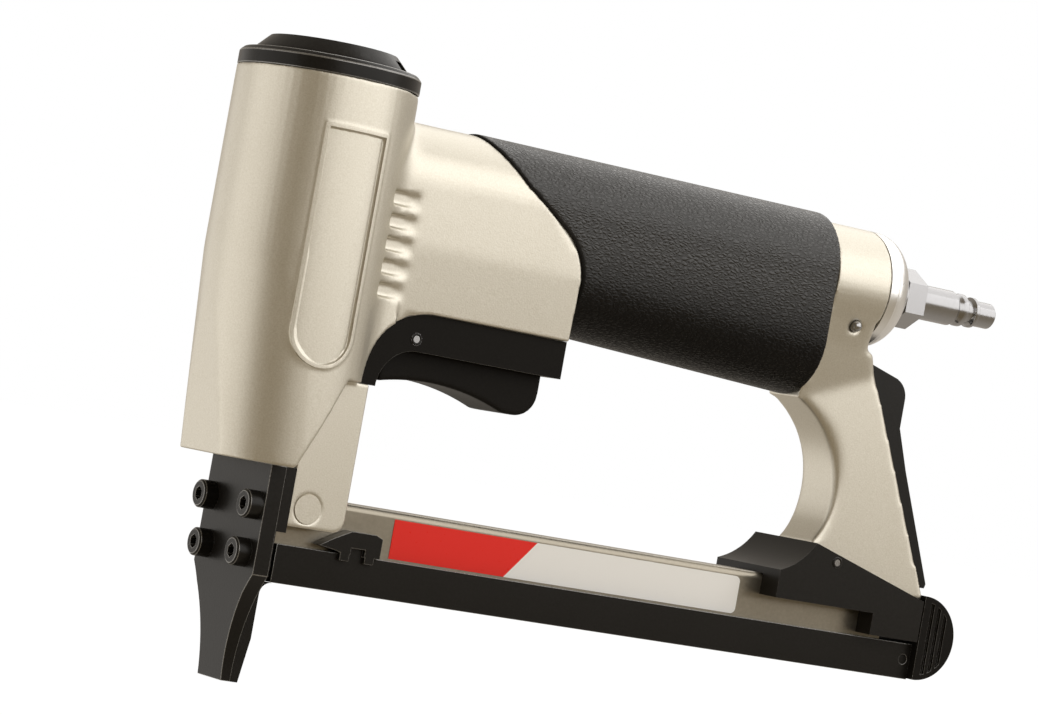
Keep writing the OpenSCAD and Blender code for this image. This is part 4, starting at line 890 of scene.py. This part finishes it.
class STAPLER_OT_rear(bpy.types.Operator):
    """Rear bracket and latch lever"""

    bl_idname = "stapler.rear"
    bl_label = "Rear bracket and latch"

    def execute(self, context):
        shapes = context.scene.stapler_shapes
        bracket = rounded_copy("rear_bracket", "bracket", "black", shapes.edge_round)
        placed(bracket, "frame", "black_metal", "rear_bracket")
        width = LATCH_ROUND * shapes.edge_round
        lever = rounded_copy("latch_lever", "latch", "black", width, BROAD_SEGMENTS)
        placed(lever, "latch", "black_metal", "latch_lever")
        return {"FINISHED"}


class STAPLER_OT_small_parts(bpy.types.Operator):
    """Finishes of the pins, springs, valves and seals that keep their CAD shape"""

    bl_idname = "stapler.small_parts"
    bl_label = "Small parts"

    def execute(self, context):
        finish_of = {"rail_pin": "paint", "channel_pin": "black"}
        finish_of.update({node: "steel" for node in STEEL_NODES})
        finish_of.update({node: "brass" for node in BRASS_NODES})
        finish_of.update({node: "seal" for node in SEAL_NODES})
        for node, finish in finish_of.items():
            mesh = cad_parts[node].data
            mesh.materials.clear()
            mesh.materials.append(FINISHES[finish])
        for node in PINS_WITH_SHADE_RINGS:
            self.add_shade_rings(node)
        return {"FINISHED"}

    def add_shade_rings(self, node):
        """Black rings on both ends of a cross pin: painted shade where the gap round the pin end would be
        shaded.
        """
        x, y, z = points_of(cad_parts[node])
        radius = (x.max() - x.min()) / 2
        for side, end in (("left", y.min()), ("right", y.max())):
            deselect_all()
            bpy.ops.mesh.primitive_torus_add(
                location=((x.max() + x.min()) / 2, end, (z.max() + z.min()) / 2),
                rotation=(math.pi / 2, 0.0, 0.0),
                major_segments=RING_SEGMENTS[0], minor_segments=RING_SEGMENTS[1],
                major_radius=RING_MIDDLE * radius, minor_radius=RING_SECTION * radius
            )
            ring = bpy.context.active_object
            ring.name = f"{node}_ring_{side}"
            ring.scale = (1.0, 1.0, RING_FLAT)
            bpy.ops.object.transform_apply(location=True, rotation=True, scale=True)
            smooth_shaded(ring)
            # Painted shade: the ring is black paint standing in for the shaded gap round the pin end
            ring.data.materials.append(FINISHES["black"])
            placed(ring, "frame", "black_metal")


# Studio

def area_light(name, place, aim, power, width, height):
    """A soft area light that looks at a point."""
    bpy.ops.object.light_add(type="AREA", location=place)
    lamp = bpy.context.active_object
    lamp.name = name
    lamp.data.shape = "RECTANGLE"
    lamp.data.size = width
    lamp.data.size_y = height
    lamp.data.energy = power
    lamp.rotation_mode = "QUATERNION"
    lamp.rotation_quaternion = (Vector(aim) - Vector(place)).to_track_quat("-Z", "Y")


def camera_axes():
    """The photograph's level right, up and backward directions, then right and up with its roll."""
    azimuth = math.radians(CAMERA_AZIMUTH)
    elevation = math.radians(CAMERA_ELEVATION)
    roll = math.radians(CAMERA_ROLL)
    level = math.cos(elevation)
    back = Vector((math.sin(azimuth) * level, -math.cos(azimuth) * level, math.sin(elevation)))
    right = Vector((math.cos(azimuth), math.sin(azimuth), 0.0))
    up = back.cross(right)
    rolled_right = right * math.cos(roll) + up * math.sin(roll)
    rolled_up = up * math.cos(roll) - right * math.sin(roll)
    return right, up, back, rolled_right, rolled_up


class STAPLER_OT_stage(bpy.types.Operator):
    """Pale floor, soft studio light and the photograph's camera"""

    bl_idname = "stapler.stage"
    bl_label = "Studio"

    def execute(self, context):
        studio = context.scene.stapler_studio
        right, up, back, rolled_right, rolled_up = camera_axes()
        self.make_camera(context, back, rolled_right, rolled_up)
        self.make_floor(studio)
        self.make_lights(studio, right, up, back)
        self.make_surround(context.scene, studio, back)
        return {"FINISHED"}

    def make_camera(self, context, back, rolled_right, rolled_up):
        """The camera at the photograph's viewpoint."""
        place = CAMERA_TARGET + CAMERA_DISTANCE * back
        bpy.ops.object.camera_add()
        camera = bpy.context.active_object
        camera.name = "photo_camera"
        turn = Matrix((rolled_right, rolled_up, back)).transposed().to_4x4()
        camera.matrix_world = Matrix.Translation(place) @ turn
        camera.data.sensor_fit = "HORIZONTAL"
        camera.data.sensor_width = SENSOR_WIDTH
        camera.data.lens = CAMERA_FOCAL_PX / IMAGE_WIDTH * SENSOR_WIDTH
        camera.data.clip_start, camera.data.clip_end = CAMERA_CLIP
        context.scene.camera = camera

    def make_floor(self, studio):
        """A floor that shows to the camera but neither shades the object nor is mirrored by it."""
        deselect_all()
        bpy.ops.mesh.primitive_plane_add(size=FLOOR_SIZE, location=(0.0, 0.0, FLOOR_Z))
        floor = bpy.context.active_object
        floor.name = "floor"
        material, tree, shader = new_material(
            "pale_floor", base_color=tuple(studio.floor), roughness=FLOOR_ROUGHNESS
        )
        glow = tree.nodes.new("ShaderNodeEmission")
        glow.inputs["Strength"].default_value = FLOOR_WHITE
        clear = tree.nodes.new("ShaderNodeBsdfTransparent")
        path = tree.nodes.new("ShaderNodeLightPath")
        lit = tree.nodes.new("ShaderNodeMixShader")
        lit.inputs["Fac"].default_value = FLOOR_GLOW
        tree.links.new(shader.outputs["BSDF"], lit.inputs[1])
        tree.links.new(glow.outputs["Emission"], lit.inputs[2])
        seen = tree.nodes.new("ShaderNodeMixShader")
        tree.links.new(path.outputs["Is Camera Ray"], seen.inputs["Fac"])
        tree.links.new(clear.outputs["BSDF"], seen.inputs[1])
        tree.links.new(lit.outputs["Shader"], seen.inputs[2])
        tree.links.new(seen.outputs["Shader"], tree.nodes["Material Output"].inputs["Surface"])
        floor.data.materials.append(material)

    def make_lights(self, studio, right, up, back):
        """The four soft boxes round the object."""
        boxes = (
            ("left_box", LEFT_BOX, studio.left_power),
            ("right_box", RIGHT_BOX, studio.right_power),
            ("top_box", TOP_BOX, studio.top_power),
            ("rear_box", REAR_BOX, studio.rear_power),
        )
        for name, (aside_deg, rise_deg, width, height), power in boxes:
            aside = math.radians(aside_deg)
            above = math.radians(rise_deg)
            level = math.cos(aside) * back + math.sin(aside) * right
            place = CAMERA_TARGET + LIGHT_DISTANCE * (math.cos(above) * level + math.sin(above) * up)
            area_light(name, place, CAMERA_TARGET, power, width, height)

    def make_surround(self, scene, studio, back):
        """White to the camera, while the object mirrors darker and warmer tones from the camera's side."""
        world = bpy.data.worlds.new("studio")
        world.use_nodes = True
        tree = world.node_tree
        shown = tree.nodes["Background"]
        shown.inputs["Color"].default_value = (1.0, 1.0, 1.0, 1.0)
        shown.inputs["Strength"].default_value = 1.0
        place = tree.nodes.new("ShaderNodeTexCoord")
        facing = tree.nodes.new("ShaderNodeVectorMath")
        facing.operation = "DOT_PRODUCT"
        facing.inputs[1].default_value = back
        tree.links.new(place.outputs["Generated"], facing.inputs[0])
        tones = tree.nodes.new("ShaderNodeValToRGB")
        tones.color_ramp.elements[0].color = (*SURROUND_BEHIND, 1.0)
        tones.color_ramp.elements[1].position = SURROUND_FRONT_AT
        tones.color_ramp.elements[1].color = (*SURROUND_FRONT, 1.0)
        aside = tones.color_ramp.elements.new(SURROUND_ASIDE_AT)
        aside.color = (*SURROUND_ASIDE, 1.0)
        tree.links.new(mapped(tree, facing.outputs["Value"], source=(-1.0, 1.0)), tones.inputs["Fac"])
        upwards = axes_of(tree, place.outputs["Generated"])["Z"]
        brightness = (SURROUND_BELOW * studio.surround, studio.surround)
        strength = mapped(tree, upwards, source=SURROUND_HORIZON, target=brightness, smooth=True)
        lit = tree.nodes.new("ShaderNodeBackground")
        tree.links.new(strength, lit.inputs["Strength"])
        tree.links.new(tones.outputs["Color"], lit.inputs["Color"])
        path = tree.nodes.new("ShaderNodeLightPath")
        mix = tree.nodes.new("ShaderNodeMixShader")
        tree.links.new(path.outputs["Is Camera Ray"], mix.inputs["Fac"])
        tree.links.new(lit.outputs["Background"], mix.inputs[1])
        tree.links.new(shown.outputs["Background"], mix.inputs[2])
        tree.links.new(mix.outputs["Shader"], tree.nodes["World Output"].inputs["Surface"])
        scene.world = world
        scene.view_settings.view_transform = "Standard"


# Add-on

OPERATORS = [
    STAPLER_OT_casting, STAPLER_OT_grip, STAPLER_OT_cap, STAPLER_OT_nose, STAPLER_OT_trigger,
    STAPLER_OT_inlet, STAPLER_OT_rail, STAPLER_OT_channel, STAPLER_OT_rear, STAPLER_OT_small_parts,
    STAPLER_OT_stage,
]


class STAPLER_PT_looks(bpy.types.Panel):
    """Lists the pieces and their settings in the sidebar."""

    bl_idname = "STAPLER_PT_looks"
    bl_label = "Stapler"
    bl_space_type = "VIEW_3D"
    bl_region_type = "UI"
    bl_category = "Stapler"

    def draw(self, context):
        scene = context.scene
        for operator in OPERATORS:
            self.layout.operator(operator.bl_idname)
        for group in (scene.stapler_finishes, scene.stapler_shapes, scene.stapler_studio):
            for key in group.__annotations__:
                self.layout.prop(group, key)


CLASSES = [StaplerFinishes, StaplerShapes, StaplerStudio, *OPERATORS, STAPLER_PT_looks]


def register():
    for cls in CLASSES:
        bpy.utils.register_class(cls)
    bpy.types.Scene.stapler_finishes = bpy.props.PointerProperty(type=StaplerFinishes)
    bpy.types.Scene.stapler_shapes = bpy.props.PointerProperty(type=StaplerShapes)
    bpy.types.Scene.stapler_studio = bpy.props.PointerProperty(type=StaplerStudio)


def unregister():
    del bpy.types.Scene.stapler_finishes
    del bpy.types.Scene.stapler_shapes
    del bpy.types.Scene.stapler_studio
    for cls in reversed(CLASSES):
        bpy.utils.unregister_class(cls)


def main():
    """Builds every piece."""
    register()
    FINISHES.update(make_materials(bpy.context.scene.stapler_finishes))
    bpy.ops.stapler.stage()
    bpy.ops.stapler.casting()
    bpy.ops.stapler.grip()
    bpy.ops.stapler.cap()
    bpy.ops.stapler.nose()
    bpy.ops.stapler.trigger()
    bpy.ops.stapler.inlet()
    bpy.ops.stapler.rail()
    bpy.ops.stapler.channel()
    bpy.ops.stapler.rear()
    bpy.ops.stapler.small_parts()


if __name__ == "__main__":
    main()
